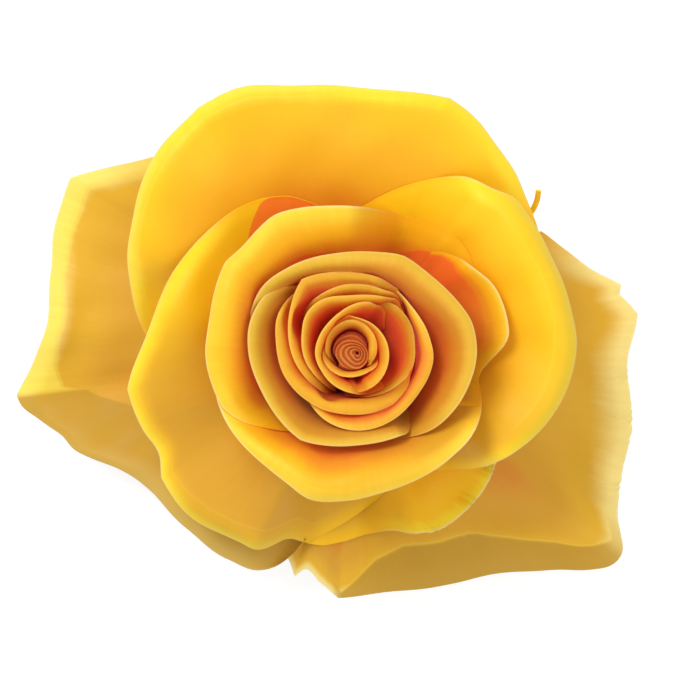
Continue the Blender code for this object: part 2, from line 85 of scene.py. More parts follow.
def hermite(x: np.ndarray, y: np.ndarray, at: np.ndarray) -> np.ndarray:
    """Smooth curve through points, with finite-difference slopes.

    Args:
        x: Rising positions of the points.
        y: Their values.
        at: Where to read the curve.

    Returns:
        The curve's values.
    """
    if len(x) < 3:
        return np.interp(at, x, y)
    slope = np.gradient(y, x)
    slope[0] = (y[1] - y[0]) / (x[1] - x[0])
    slope[-1] = (y[-1] - y[-2]) / (x[-1] - x[-2])
    k = np.clip(np.searchsorted(x, at, side="right") - 1, 0, len(x) - 2)
    width = x[k + 1] - x[k]
    t = np.clip((at - x[k]) / width, 0.0, 1.0)
    t2, t3 = t * t, t * t * t
    return ((2 * t3 - 3 * t2 + 1) * y[k] + (t3 - 2 * t2 + t) * width * slope[k]
            + (3 * t2 - 2 * t3) * y[k + 1] + (t3 - t2) * width * slope[k + 1])


def smooth_through(x: np.ndarray, y: np.ndarray, corners: tuple[float, ...],
                   at: np.ndarray) -> np.ndarray:
    """Smooth curve through points that stays sharp at some of them.

    Args:
        x: Rising positions of the points.
        y: Their values.
        corners: Positions of the points where the curve may turn sharply.
        at: Where to read the curve.

    Returns:
        The curve's values.
    """
    cuts = [0] + [k for k in range(1, len(x) - 1) if x[k] in corners] + [len(x) - 1]
    out = np.zeros_like(at)
    for first, last in zip(cuts[:-1], cuts[1:]):
        here = (at >= x[first]) if first == 0 else (at > x[first])
        here = here if last == len(x) - 1 else here & (at <= x[last])
        inside = np.clip(at[here], x[first], x[last])
        out[here] = hermite(x[first:last + 1], y[first:last + 1], inside)
    return out


def travelled(points: np.ndarray, axis: int = 0) -> np.ndarray:
    """Distance travelled along one axis of an array of points, from 0."""
    run = np.cumsum(np.linalg.norm(np.diff(points, axis=axis), axis=-1), axis=axis)
    return np.concatenate([np.zeros_like(np.take(run, [0], axis=axis)), run], axis=axis)


def resample(lines: np.ndarray, shares: np.ndarray) -> np.ndarray:
    """Points of several polylines at shares of their lengths.

    Args:
        lines: Polylines by point by 2.
        shares: Where to read each of them, 0 to 1.

    Returns:
        Polylines by share by 2.
    """
    out = np.empty((len(lines), len(shares), 2))
    for i, (line, run) in enumerate(zip(lines, travelled(lines, 1))):
        for k in (0, 1):
            out[i, :, k] = np.interp(shares * run[-1], run, line[:, k])
    return out


def polar(radius: np.ndarray, angle: np.ndarray, height: np.ndarray) -> np.ndarray:
    """Points round the flower's axis from radius, angle in degrees and height."""
    turn = np.radians(angle)
    return np.stack([radius * np.cos(turn), radius * np.sin(turn), height + 0.0 * turn], axis=-1)


def around(steps: int) -> np.ndarray:
    """Even angles of one turn, in radians."""
    return np.linspace(0.0, 2.0 * np.pi, steps + 1)[:-1]


def unit(vectors: np.ndarray, least: float = TINY) -> np.ndarray:
    """Vectors brought to a length of 1."""
    return vectors / np.maximum(np.linalg.norm(vectors, axis=-1, keepdims=True), least)


def heading(slope: np.ndarray) -> np.ndarray:
    """Unit vectors (out, up) at some slopes in radians."""
    return np.stack([np.cos(slope), np.sin(slope)], axis=-1)


def bend(start: np.ndarray, end: np.ndarray) -> np.ndarray:
    """Way (out, up) along an arc of radius 1 from one slope to another."""
    return np.stack([np.sin(start) - np.sin(end), np.cos(end) - np.cos(start)], axis=-1)


def bezier(t: np.ndarray, a: np.ndarray, b: np.ndarray, c: np.ndarray, d: np.ndarray) -> np.ndarray:
    """Cubic curve from a to d, with the handles b and c."""
    return (1 - t) ** 3 * a + 3 * (1 - t) ** 2 * t * b + 3 * (1 - t) * t * t * c + t ** 3 * d


def softened(values: np.ndarray, axis: int) -> np.ndarray:
    """Values averaged with their neighbours along an axis, its two ends as they are.

    Args:
        values: The values.
        axis: The axis to soften along.

    Returns:
        The softened values.
    """
    line = np.moveaxis(values, axis, 0)
    out = line.copy()
    out[1:-1] = 0.5 * line[1:-1] + 0.25 * (line[:-2] + line[2:])
    return np.moveaxis(out, 0, axis)


def capped_faces(rows: int, count: int) -> list[tuple[int, ...]]:
    """Faces over closed rings of points, with a point at each end.

    Args:
        rows: Number of rings, from the top down.
        count: Points in each ring.

    Returns:
        Faces by point number, the two end points after all the rings.
    """
    faces = []
    for k in range(count):
        j = (k + 1) % count
        faces.append((rows * count, k, j))
        faces.append((rows * count + 1, (rows - 1) * count + j, (rows - 1) * count + k))
        for row in range(rows - 1):
            a, b = row * count, (row + 1) * count
            faces.append((a + k, b + k, b + j, a + j))
    return faces


def add_layer(mesh: bpy.types.Mesh, label: str, values: np.ndarray) -> None:
    """Give a mesh a value at each point."""
    layer = mesh.attributes.new(label, "FLOAT", "POINT")
    layer.data.foreach_set("value", values.astype(np.float32))


def new_piece(name: str, points: np.ndarray, faces: list, layers: dict[str, np.ndarray],
              edges: tuple = (), smooth: bool = True) -> bpy.types.Object:
    """Make a mesh object at the origin.

    Args:
        name: The object's name.
        points: Its points, in metres.
        faces: Its faces by point number.
        layers: Values at its points, by attribute name.
        edges: Loose edges by point number.
        smooth: Whether its faces are shaded smooth.

    Returns:
        The object.
    """
    mesh = bpy.data.meshes.new(name)
    mesh.from_pydata(points.tolist(), list(edges), faces)
    mesh.update()
    for label, values in layers.items():
        add_layer(mesh, label, values)
    if smooth:
        mesh.shade_smooth()
    piece = bpy.data.objects.new(name, mesh)
    bpy.context.scene.collection.objects.link(piece)
    return piece


def place(piece: bpy.types.Object, slot: Slot, *nodes: str) -> None:
    """Ride the body and stand for the CAD nodes.

    Args:
        piece: The object.
        slot: The record's slot; not used.
        *nodes: The CAD nodes that it stands for.
    """
    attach(piece, BODY)
    if nodes:
        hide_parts(*nodes)
    log.info("%s: %d faces, stands for %s", piece.name, len(piece.data.polygons),
             ", ".join(nodes) or "no node")


# ---------------------------------------------------------------- petals as laid sheets

ROW_COUNT = 30
ROW_CROWDING = 1.7
ROW_SHARES = 1.0 - (1.0 - np.linspace(0.0, 1.0, ROW_COUNT)) ** ROW_CROWDING
ROW_THICKNESS = np.interp(ROW_SHARES, (0.0, 0.22, 0.42, 0.58), (0.5, 0.7, 0.9, 1.0))


@dataclass(frozen=True)
class Ripple:
    """A row of small waves that run in from a stretch of a petal's rim.

    Attributes:
        start: Angle at which the waves begin, in degrees.
        end: Angle at which they end.
        height: How far a crest stands off the sheet, in mm.
        pitch: Distance from crest to crest along the rim, in mm.
        depth: How far in from the rim they run, in mm.
    """

    start: float
    end: float
    height: float
    pitch: float
    depth: float


@dataclass(frozen=True)
class Rest:
    """An end of a petal that lies flat on the inner face of another.

    Attributes:
        free: Angle up to which the petal stands on its own, in degrees.
        settled: Angle from which it lies wholly on the other petal.
        on: The other petal's name.
    """

    free: float
    settled: float
    on: str

    def share(self, angles: np.ndarray) -> np.ndarray:
        """How far the petal has settled at some angles, 0 to 1."""
        return smoothstep(0.0, 1.0, (angles - self.free) / (self.settled - self.free))


@dataclass(frozen=True)
class Tone:
    """How a petal is coloured at one angle, painted shade and painted highlight included.

    Attributes:
        angle: Where round the axis, in degrees.
        depth: How fast the colour deepens inwards, towards colours that are partly the rose's orange base
            and partly painted shade; raised where a face lies in shade.
        olive: How strongly the turned margin is painted with shade.
        dusk: How strongly the face is painted with shade, where it is turned from the light.
        light: How strongly the turned margin is painted with a highlight.
        band: Width of that margin, in mm.
        slit: How far in from the rim the face turns abruptly to its deepest colour, a painted shadow along
            a gap, in mm.
    """

    angle: float
    depth: float = 1.0
    olive: float = 0.0
    dusk: float = 0.0
    light: float = 0.0
    band: float = 3.0
    slit: float = 90.0


@dataclass(frozen=True)
class PetalShape:
    """One petal round the flower's axis.

    Attributes:
        name: The node it stands for.
        whorl: Order outwards, by whorl.
        foot: Radius of its foot on the hip, in mm.
        rim: Stations (angle in degrees, radius, height in mm) along its rim.
        rise: Slope of the wall at its foot, in degrees.
        belly: Length of the handle that bows the wall out, in mm.
        folds: Stations (angle, slope under the lip, radius of the lip in mm, slope beyond
            it, width of the straight hem beyond it in mm) round the petal.
        corners: Angles of the stations where the rim turns sharply.
        rests: Ends that lie on other petals.
        waist: Share of its spread that it keeps at its foot.
        grip: How far down the slope under the lip runs on, as a share of the room inwards.
        sheet: Thickness of the sheet, in mm.
        ripples: Waves along its rim.
        tones: How its colour changes round it, painted shade and highlight included.
        slot: The record's slot.
        finish: Name of its finish.
    """

    name: str
    whorl: float
    foot: float
    rim: tuple[tuple[float, float, float], ...]
    rise: float
    belly: float
    folds: tuple[tuple[float, float, float, float, float], ...]
    corners: tuple[float, ...] = ()
    rests: tuple[Rest, ...] = ()
    waist: float = 0.62
    grip: float = 0.62
    sheet: float = 0.36
    ripples: tuple[Ripple, ...] = ()
    tones: tuple[Tone, ...] = (Tone(0.0),)
    slot: Slot = Slot.PETAL
    finish: str = "ring"

    @property
    def first(self) -> float:
        """Angle at which the rim begins."""
        return self.rim[0][0]

    @property
    def last(self) -> float:
        """Angle at which the rim ends."""
        return self.rim[-1][0]

    def edge(self, angles: np.ndarray) -> np.ndarray:
        """Radius and height of the rim at some angles."""
        rim = np.array(self.rim, dtype=float)
        at = np.clip(angles, self.first, self.last)
        return np.stack([smooth_through(rim[:, 0], rim[:, k], self.corners, at) for k in (1, 2)], axis=1)

    def eased_edge(self, angles: np.ndarray, reach: float = 9.0) -> np.ndarray:
        """The rim with its corners rounded off.

        Args:
            angles: Where round the axis, in degrees.
            reach: How far to each side of an angle the rim is averaged, in degrees.

        Returns:
            Radius and height at each angle.
        """
        if not self.corners:
            return self.edge(angles)
        shifts = np.linspace(-1.0, 1.0, 9)
        weights = 1.15 - np.abs(shifts)
        total = sum(weight * self.edge(angles + reach * shift) for weight, shift in zip(weights, shifts))
        return total / weights.sum()

    def fold(self, angles: np.ndarray) -> tuple[np.ndarray, ...]:
        """How the petal is folded at some angles.

        Args:
            angles: Where round the axis, in degrees.

        Returns:
            Slope under the lip, radius of the lip, slope beyond it and width of the hem.
        """
        folds = np.array(self.folds, dtype=float)
        at = np.clip(angles, folds[0, 0], folds[-1, 0])
        if len(folds) == 1:
            return tuple(np.full_like(at, folds[0, k]) for k in range(1, 5))
        return tuple(hermite(folds[:, 0], folds[:, k], at) for k in range(1, 5))

    def tone(self, angles: np.ndarray) -> dict[str, np.ndarray]:
        """Values that steer the petal's colour, with its painted shade and highlight.

        Args:
            angles: Where round the axis, in degrees.

        Returns:
            Each tone's values by its name, the gap shadow's as 1 over its distance.
        """
        at = [tone.angle for tone in self.tones]
        found = {label: np.interp(angles, at, [getattr(tone, label) for tone in self.tones])
                 for label in ("depth", "olive", "dusk", "light", "band", "slit")}
        found["slit"] = 1.0 / found["slit"]
        return found

    def shown(self, angles: np.ndarray) -> np.ndarray:
        """How freely the rim stands.

        Args:
            angles: Where round the axis, in degrees.

        Returns:
            1 where it stands free, falling to 0 where an end lies on another petal.
        """
        free = smoothstep(0.0, 16.0, np.minimum(angles - self.first, self.last - angles))
        for rest in self.rests:
            free = free * (1.0 - rest.share(angles))
        return free


@dataclass
class PetalBed:
    """Lays the petals round the axis, each clear of those it encloses.

    Attributes:
        shapes: The petals.
        core_radius: Radius of the furled middle at its top, in mm.
        core_top: Its height.
        core_foot_share: Share of that radius at its foot.
        step: Angle between the columns on which petals are laid, in degrees.
        margin: How far past its sides a petal still holds off those outside it.
        clearance: Room kept between two sheets, in mm.
        dome_top: Height of the hip's rounded top, in mm.
        dome_rim_height: Height of the hip's rim.
        dome_rim_radius: Radius of the hip's rim.
        seat_gap: Room between the hip's dome and a petal's foot.
        tuck_sweep: Angle over which the lip dies away towards a petal's sides.
        tuck_share: Share of the lip left at the sides.
        retreat: How far an outer petal may enter past an inner one's side, in mm.
        rounds: How often the petals are pushed clear in one sweep.
        sweeps: How often the whole bed is laid again from its smoothed result.
        wall_rise: How far a lip still holds others off above its edge, in mm.
        levels: How many petals further in a petal is kept clear of.
        laid: Each laid petal's angles and the moves that clear it, by name.
    """

    shapes: tuple[PetalShape, ...]
    core_radius: float = 2.65
    core_top: float = 45.6
    core_foot_share: float = 0.72
    step: float = 5.0
    margin: float = 15.0
    clearance: float = 0.16
    dome_top: float = HIP_TOP
    dome_rim_height: float = HIP_RIM_HEIGHT
    dome_rim_radius: float = HIP_RIM_RADIUS
    seat_gap: float = 0.35
    tuck_sweep: float = 26.0
    tuck_share: float = 0.2
    retreat: float = 3.0
    rounds: int = 14
    sweeps: int = 2
    wall_rise: float = 0.6
    levels: int = 7
    laid: dict[str, tuple[np.ndarray, np.ndarray]] = field(default_factory=dict)

    def dome_height(self, radius: np.ndarray) -> np.ndarray:
        """Height of the hip's rounded top at a radius, in mm."""
        fall = self.dome_top - self.dome_rim_height
        return self.dome_top - fall * (radius / self.dome_rim_radius) ** 2

    def named(self, name: str) -> PetalShape:
        """The petal of a name."""
        return next(shape for shape in self.shapes if shape.name == name)

    def standing(self, shape: PetalShape, angles: np.ndarray) -> np.ndarray:
        """Profiles of a petal that stands on its own.

        Args:
            shape: The petal.
            angles: Where round the axis, in degrees.

        Returns:
            Half-plane profiles (radius, height) from foot to edge, one for each angle.
        """
        sharp, eased = shape.edge(angles), shape.eased_edge(angles)
        flare, lip, roll, hem = shape.fold(angles)
        inset = np.minimum(angles - shape.first, shape.last - angles) / self.tuck_sweep
        ease = self.tuck_share + (1.0 - self.tuck_share) * smoothstep(-0.15, 1.0, inset)
        lip, hem = lip * ease, hem * ease
        high = np.radians(flare)
        low = high + (np.radians(roll) - high) * ease
        beyond = hem[:, None] * heading(low)
        turned = eased - beyond
        shoulder = turned - lip[:, None] * bend(high, low)
        foot = np.array([shape.foot, self.dome_height(np.array(shape.foot)) + self.seat_gap])
        rise = math.radians(shape.rise)
        up = foot + shape.belly * np.array([math.cos(rise), math.sin(rise)])
        reach = np.linalg.norm(shoulder - foot, axis=1)
        across = np.maximum(shoulder[:, 0] - shape.foot, 0.6) / np.maximum(np.cos(high), 0.2)
        handle = np.minimum(0.3 * reach, shape.grip * across)[:, None]
        back = shoulder - handle * heading(high)
        t = np.linspace(0.0, 1.0, 34)[None, :, None]
        wall = bezier(t, foot, up, back[:, None], shoulder[:, None])
        turn = high[:, None] + (low - high)[:, None] * np.linspace(0.1, 1.0, 10)
        arc = shoulder[:, None] + lip[:, None, None] * bend(high[:, None], turn)
        strip = turned[:, None] + np.linspace(0.25, 1.0, 4)[None, :, None] * beyond[:, None]
        line = resample(np.concatenate([wall, arc, strip], axis=1), ROW_SHARES)
        return line + (sharp - eased)[:, None] * smoothstep(0.74, 1.0, ROW_SHARES)[None, :, None]

    def resting(self, shape: PetalShape, host: PetalShape, angles: np.ndarray) -> np.ndarray:
        """Profiles of a petal laid on another's inner face, up to its own radius.

        Args:
            shape: The petal.
            host: The petal that it lies on.
            angles: Where round the axis, in degrees.

        Returns:
            Profiles from foot to edge, one for each angle.
        """
        middle = 0.5 * (host.first + host.last)
        face = self.desired(host, angles - 360.0 * np.round((angles - middle) / 360.0))
        along = unit(np.gradient(face, axis=1))
        full = self.clearance + 0.5 * (shape.sheet + host.sheet)
        face = face + full * np.stack([-along[..., 1], along[..., 0]], axis=2)
        edge = shape.edge(angles)
        out = np.empty_like(face)
        for i, line in enumerate(face):
            past = np.nonzero((line[:, 0] >= edge[i, 0]) | (line[:, 1] >= edge[i, 1]))[0]
            k = max(int(past[0]), 6) if len(past) else ROW_COUNT - 1
            run = np.maximum(line[k] - line[k - 1], 1e-6)
            share = float(np.clip((edge[i] - line[k - 1]) / run, 0.0, 1.0).min())
            tip = line[k - 1] + share * (line[k] - line[k - 1])
            out[i] = resample(np.vstack([line[:k], tip])[None], ROW_SHARES)[0]
        run = unit(np.gradient(out, axis=1))
        close = (full - 0.5 * host.sheet - 0.1 * shape.sheet - 0.03) * smoothstep(0.72, 1.0, ROW_SHARES)
        return out + close[None, :, None] * np.stack([run[..., 1], -run[..., 0]], axis=2)

    def desired(self, shape: PetalShape, angles: np.ndarray) -> np.ndarray:
        """Half-plane profiles (radius, height) of a petal before it is cleared.

        Args:
            shape: The petal.
            angles: Where round the axis, in degrees.

        Returns:
            Profiles, one for each angle, from foot to edge.
        """
        line = self.standing(shape, angles)
        for rest in shape.rests:
            share = rest.share(angles)
            lying = share > 0.0
            if lying.any():
                flat = self.resting(shape, self.named(rest.on), angles[lying])
                line[lying] += share[lying][:, None, None] * (flat - line[lying])
        return line

    def barrier(self, profile: np.ndarray) -> np.ndarray:
        """Outer side of a laid profile: its wall, then out under its lip and up.

        Args:
            profile: The profile, from foot to edge.

        Returns:
            The side's points, one more than the profile has.
        """
        edge = profile[-1]
        above = np.nonzero(profile[1:-1, 1] > edge[1])[0]
        line = profile
        if len(above) and above[0] < len(profile) - 4:
            i = above[0]
            rise = profile[i + 1, 1] - profile[i, 1]
            share = (edge[1] - profile[i, 1]) / rise if abs(rise) > TINY else 0.0
            cut = profile[i] + min(max(share, 0.0), 1.0) * (profile[i + 1] - profile[i])
            fill = np.linspace(0.0, 1.0, len(profile) - i)[1:, None]
            line = np.vstack([profile[:i + 1], cut + fill * (edge - cut)])
        top = np.array([edge[0] + 0.02, max(edge[1], profile[:, 1].max()) + self.wall_rise])
        return np.vstack([line, top])

    @staticmethod
    def push(points: np.ndarray, walls: np.ndarray, gaps: np.ndarray) -> np.ndarray:
        """How far points that stand closer than their gap to a laid wall have to move.

        Args:
            points: Profiles being laid, one for each column.
            walls: The wall that each has to clear.
            gaps: Room wanted at each point, below 0 where a wall may be entered.

        Returns:
            Steps, one for each point.
        """
        starts = walls[:, None, :-1]
        spans = walls[:, None, 1:] - starts
        lengths = np.maximum((spans ** 2).sum(-1), TINY)
        rel = points[:, :, None] - starts
        share = np.clip((rel * spans).sum(-1) / lengths, 0.0, 1.0)
        offsets = rel - share[..., None] * spans
        k = np.argmin((offsets ** 2).sum(-1), axis=-1)[..., None]
        share = np.take_along_axis(share, k, -1)[..., 0]
        offset = np.take_along_axis(offsets, k[..., None], 2)[:, :, 0]
        k = k[..., 0]
        normals = np.stack([walls[:, 1:, 1] - walls[:, :-1, 1], walls[:, :-1, 0] - walls[:, 1:, 0]],
                           axis=-1)
        normals = unit(normals, 1e-6)
        last = walls.shape[1] - 2
        row = np.arange(len(points))[:, None]
        here = normals[row, k]
        ahead = normals[row, np.minimum(k + 1, last)]
        at_end = (share >= 1.0) & (k == last)
        corner = (share >= 1.0) & ~at_end
        side = (offset * here).sum(-1)
        side = np.where(corner, np.maximum(side, (offset * ahead).sum(-1)), side)
        distance = np.linalg.norm(offset, axis=-1)
        signed = np.where(side >= 0.0, distance, -distance)
        need = np.maximum(gaps - signed, 0.0)
        need[at_end & (side > -0.5 * np.abs(gaps))] = 0.0
        normal = unit(here + np.where(corner[..., None], ahead, 0.0), 1e-6)
        away = offset / np.maximum(distance, 1e-6)[..., None]
        outside = (side > 0.0) & (distance > 1e-4)
        return need[..., None] * np.where(outside[..., None], away, normal)

    def clear(self, wanted: np.ndarray, walls: list[tuple[np.ndarray, np.ndarray]],
              gaps: np.ndarray) -> np.ndarray:
        """Move profiles outwards until they stand clear of the walls already laid.

        Args:
            wanted: The profiles, one for each column.
            walls: The walls to clear, each with how much of it stands at each column.
            gaps: Room wanted at each point.

        Returns:
            The moved profiles.
        """
        line = wanted.copy()
        for turn in range(self.rounds):
            worst = 0.0
            for wall, weight in walls:
                room = gaps * weight[:, None] - self.retreat * (1.0 - weight[:, None])
                step = self.push(line, wall, room)
                line += 0.8 * step
                worst = max(worst, float(np.abs(step).max()))
            line[:, 0, 1] = self.dome_height(line[:, 0, 0]) + self.seat_gap
            if worst < 0.02:
                break
            if turn < self.rounds - 4:
                moved = line - wanted
                line = wanted + 0.4 * moved + 0.6 * softened(moved, 1)
        return line

    def sweep(self, start: np.ndarray, weight: np.ndarray, rank: np.ndarray) -> np.ndarray:
        """Lay every petal once, column by column from the inside out.

        Args:
            start: Profiles before they are cleared, by petal and column.
            weight: How much of a petal stands at each column.
            rank: Order of the petals outwards at each column, without end where one has none.

        Returns:
            The cleared profiles.
        """
        count, columns = rank.shape
        order = np.argsort(rank, axis=0, kind="stable")
        cleared = start.copy()
        walls = np.zeros((count, columns, ROW_COUNT + 1, 2))
        reach = self.core_radius - 0.03
        share = np.linspace(0.0, 1.0, ROW_COUNT)
        core = np.stack([reach * (self.core_foot_share + (1 - self.core_foot_share) * share),
                         self.dome_top + (self.core_top + 1 - self.dome_top) * share], axis=1)
        core = np.vstack([core, (reach, self.core_top + 3.0)])
        sheets = np.array([shape.sheet for shape in self.shapes])
        for level in range(count):
            who = order[level]
            at = np.nonzero(np.isfinite(rank[who, np.arange(columns)]))[0]
            if not len(at):
                break
            who = who[at]
            inner = [(np.repeat(core[None], len(at), axis=0), np.ones(len(at)))]
            for below in range(max(0, level - self.levels), level):
                other = order[below][at]
                inner.append((walls[other, at], weight[other, at]))
            gaps = self.clearance + sheets[who][:, None] * ROW_THICKNESS
            line = self.clear(start[who, at], inner, gaps)
            cleared[who, at] = line
            for p, a, profile in zip(who, at, line):
                walls[p, a] = self.barrier(profile)
        return cleared

    def lay(self) -> None:
        """Fill laid with each petal's angles and the moves that clear it."""
        grid = np.arange(0.0, 360.0, self.step)
        count, columns = len(self.shapes), len(grid)
        local = np.full((count, columns), np.nan)
        weight = np.zeros((count, columns))
        wanted = np.zeros((count, columns, ROW_COUNT, 2))
        rank = np.full((count, columns), np.inf)
        for p, shape in enumerate(self.shapes):
            for turn in TURNS:
                here = grid + turn
                past = np.maximum(np.maximum(shape.first - here, here - shape.last), 0.0)
                inside = past <= self.margin
                local[p, inside] = here[inside]
                weight[p, inside] = 1.0 - smoothstep(0.0, self.margin, past[inside])
            inside = ~np.isnan(local[p])
            wanted[p, inside] = self.desired(shape, local[p, inside])
            rank[p, inside] = shape.whorl * 100.0 + shape.edge(local[p, inside])[:, 0]
        own = [np.nonzero(~np.isnan(angles))[0] for angles in local]
        own = [at[np.argsort(angles[at])] for at, angles in zip(own, local)]
        placed = wanted.copy()
        for _ in range(self.sweeps):
            cleared = self.sweep(placed, weight, rank)
            for p, at in enumerate(own):
                moved = cleared[p, at] - wanted[p, at]
                for _ in range(3):
                    moved = softened(moved, 0)
                placed[p, at] = wanted[p, at] + moved
        for p, (shape, at) in enumerate(zip(self.shapes, own)):
            self.laid[shape.name] = (local[p, at], placed[p, at] - wanted[p, at])

    def surface(self, shape: PetalShape, angles: np.ndarray) -> np.ndarray:
        """Laid profiles of a petal.

        Args:
            shape: The petal.
            angles: Where round the axis, in degrees, within the petal.

        Returns:
            Profiles from foot to edge, one for each angle.
        """
        known, moved = self.laid[shape.name]
        out = self.desired(shape, angles)
        for row in range(ROW_COUNT):
            for k in (0, 1):
                out[:, row, k] += hermite(known, moved[:, row, k], angles)
        return out


# ---------------------------------------------------------------- sheets with a thickness

@dataclass
class SheetMesh:
    """A thin closed sheet made from a grid of points, with rounded edges.

    Attributes:
        grid: Points of its middle surface, columns by rows by 3, in mm.
        sheet: Its full thickness, in mm.
        thin: Share of the thickness left at its edges.
        taper: How far in from an edge it thins, in mm.
        freed: How freely each column's edge stands, 0 to 1.
        thinnest: Share of the thickness left at an edge that lies on a face.
        uv_scale: Size of a millimetre in the UV map.
    """

    grid: np.ndarray
    sheet: float
    thin: float = 0.5
    taper: float = 2.5
    freed: np.ndarray | None = None
    thinnest: float = 0.18
    uv_scale: float = 0.01

    def normals(self) -> np.ndarray:
        """Unit normals of the middle surface, out of its back."""
        return unit(np.cross(np.gradient(self.grid, axis=0), np.gradient(self.grid, axis=1)))

    def distances(self) -> tuple[np.ndarray, np.ndarray, np.ndarray]:
        """Distances in mm from the foot, from the rim and from the nearer side."""
        reach, left = travelled(self.grid, 1), travelled(self.grid, 0)
        return reach, reach[:, -1:] - reach, np.minimum(left, left[-1:] - left)

    @staticmethod
    def faces(columns: int, rows: int, loop: list[tuple[int, int]]) -> list[tuple[int, ...]]:
        """Faces of the two sides and of the rounded edge between them.

        Args:
            columns: Points across.
            rows: Points from foot to rim.
            loop: The edge's points (column, row), once round.

        Returns:
            Faces by point number: the back's points, then the front's, then the edge's.
        """
        size, count = columns * rows, len(loop)
        faces = []
        for u in range(columns - 1):
            for v in range(rows - 1):
                a, b = u * rows + v, (u + 1) * rows + v
                faces.append((a, b, b + 1, a + 1))
                faces.append((size + a, size + a + 1, size + b + 1, size + b))
        for i in range(count):
            j = (i + 1) % count
            a, b = loop[i][0] * rows + loop[i][1], loop[j][0] * rows + loop[j][1]
            c, d = 2 * size + i, 2 * size + j
            faces.append((a, b, d, c))
            faces.append((c, d, size + b, size + a))
        return faces

    def build(self, name: str, columns_of: dict[str, np.ndarray]) -> bpy.types.Object:
        """Make the closed sheet as an object, with its UV map and distances.

        Args:
            name: The object's name.
            columns_of: Further attributes by name, with a value for each column.

        Returns:
            The object, at the origin.
        """
        grid, normal = self.grid, self.normals()
        reach, rim, side = self.distances()
        edge = np.minimum(rim, side)
        thin = self.thin
        if self.freed is not None:
            thin = self.thinnest + (self.thin - self.thinnest) * self.freed[:, None]
        thickness = self.sheet * (thin + (1.0 - thin) * smoothstep(0.0, self.taper, edge))
        half = 0.5 * thickness[..., None]
        columns, rows = grid.shape[:2]
        loop = ([(u, rows - 1) for u in range(columns)] + [(columns - 1, v) for v in range(rows - 2, -1,
                                                                                           -1)]
                + [(u, 0) for u in range(columns - 2, -1, -1)] + [(0, v) for v in range(1, rows - 1)])
        ring = []
        for u, v in loop:
            inner = grid[min(max(u, 1), columns - 2), min(max(v, 1), rows - 2)]
            out = grid[u, v] - inner
            ring.append(grid[u, v] + out / max(np.linalg.norm(out), TINY) * half[u, v] * 0.9)
        points = np.concatenate([(grid + half * normal).reshape(-1, 3), (grid - half * normal).reshape(-1,
                                                                                                       3),
                                 np.array(ring)])
        ring_at = np.array([u * rows + v for u, v in loop])

        def thrice(values: np.ndarray) -> np.ndarray:
            """Values of the grid for the back, the front and the edge."""
            flat = values.reshape(-1)
            return np.concatenate([flat, flat, flat[ring_at]])

        share = np.repeat(np.linspace(0.0, 1.0, columns)[:, None], rows, axis=1)
        sides = (np.ones(grid[..., 0].size), np.zeros(grid[..., 0].size), np.full(len(loop), 0.5))
        layers = {"reach": thrice(reach), "rim": thrice(rim), "across": thrice(share),
                  "back": np.concatenate(sides)}
        for label, values in columns_of.items():
            layers[label] = thrice(np.repeat(values[:, None], rows, axis=1))
        layers["edge"] = thrice(edge)
        piece = new_piece(name, points * MM, self.faces(columns, rows, loop), layers)
        mesh = piece.data
        corner = np.empty(len(mesh.loops), dtype=np.int32)
        mesh.loops.foreach_get("vertex_index", corner)
        middle = np.median(travelled(grid, 0)[-1])
        pairs = np.stack([thrice(share)[corner] * middle * self.uv_scale,
                          thrice(reach)[corner] * self.uv_scale], axis=1)
        mesh.uv_layers.new(name="UVMap").data.foreach_set("uv", pairs.astype(np.float32).reshape(-1))
        return piece
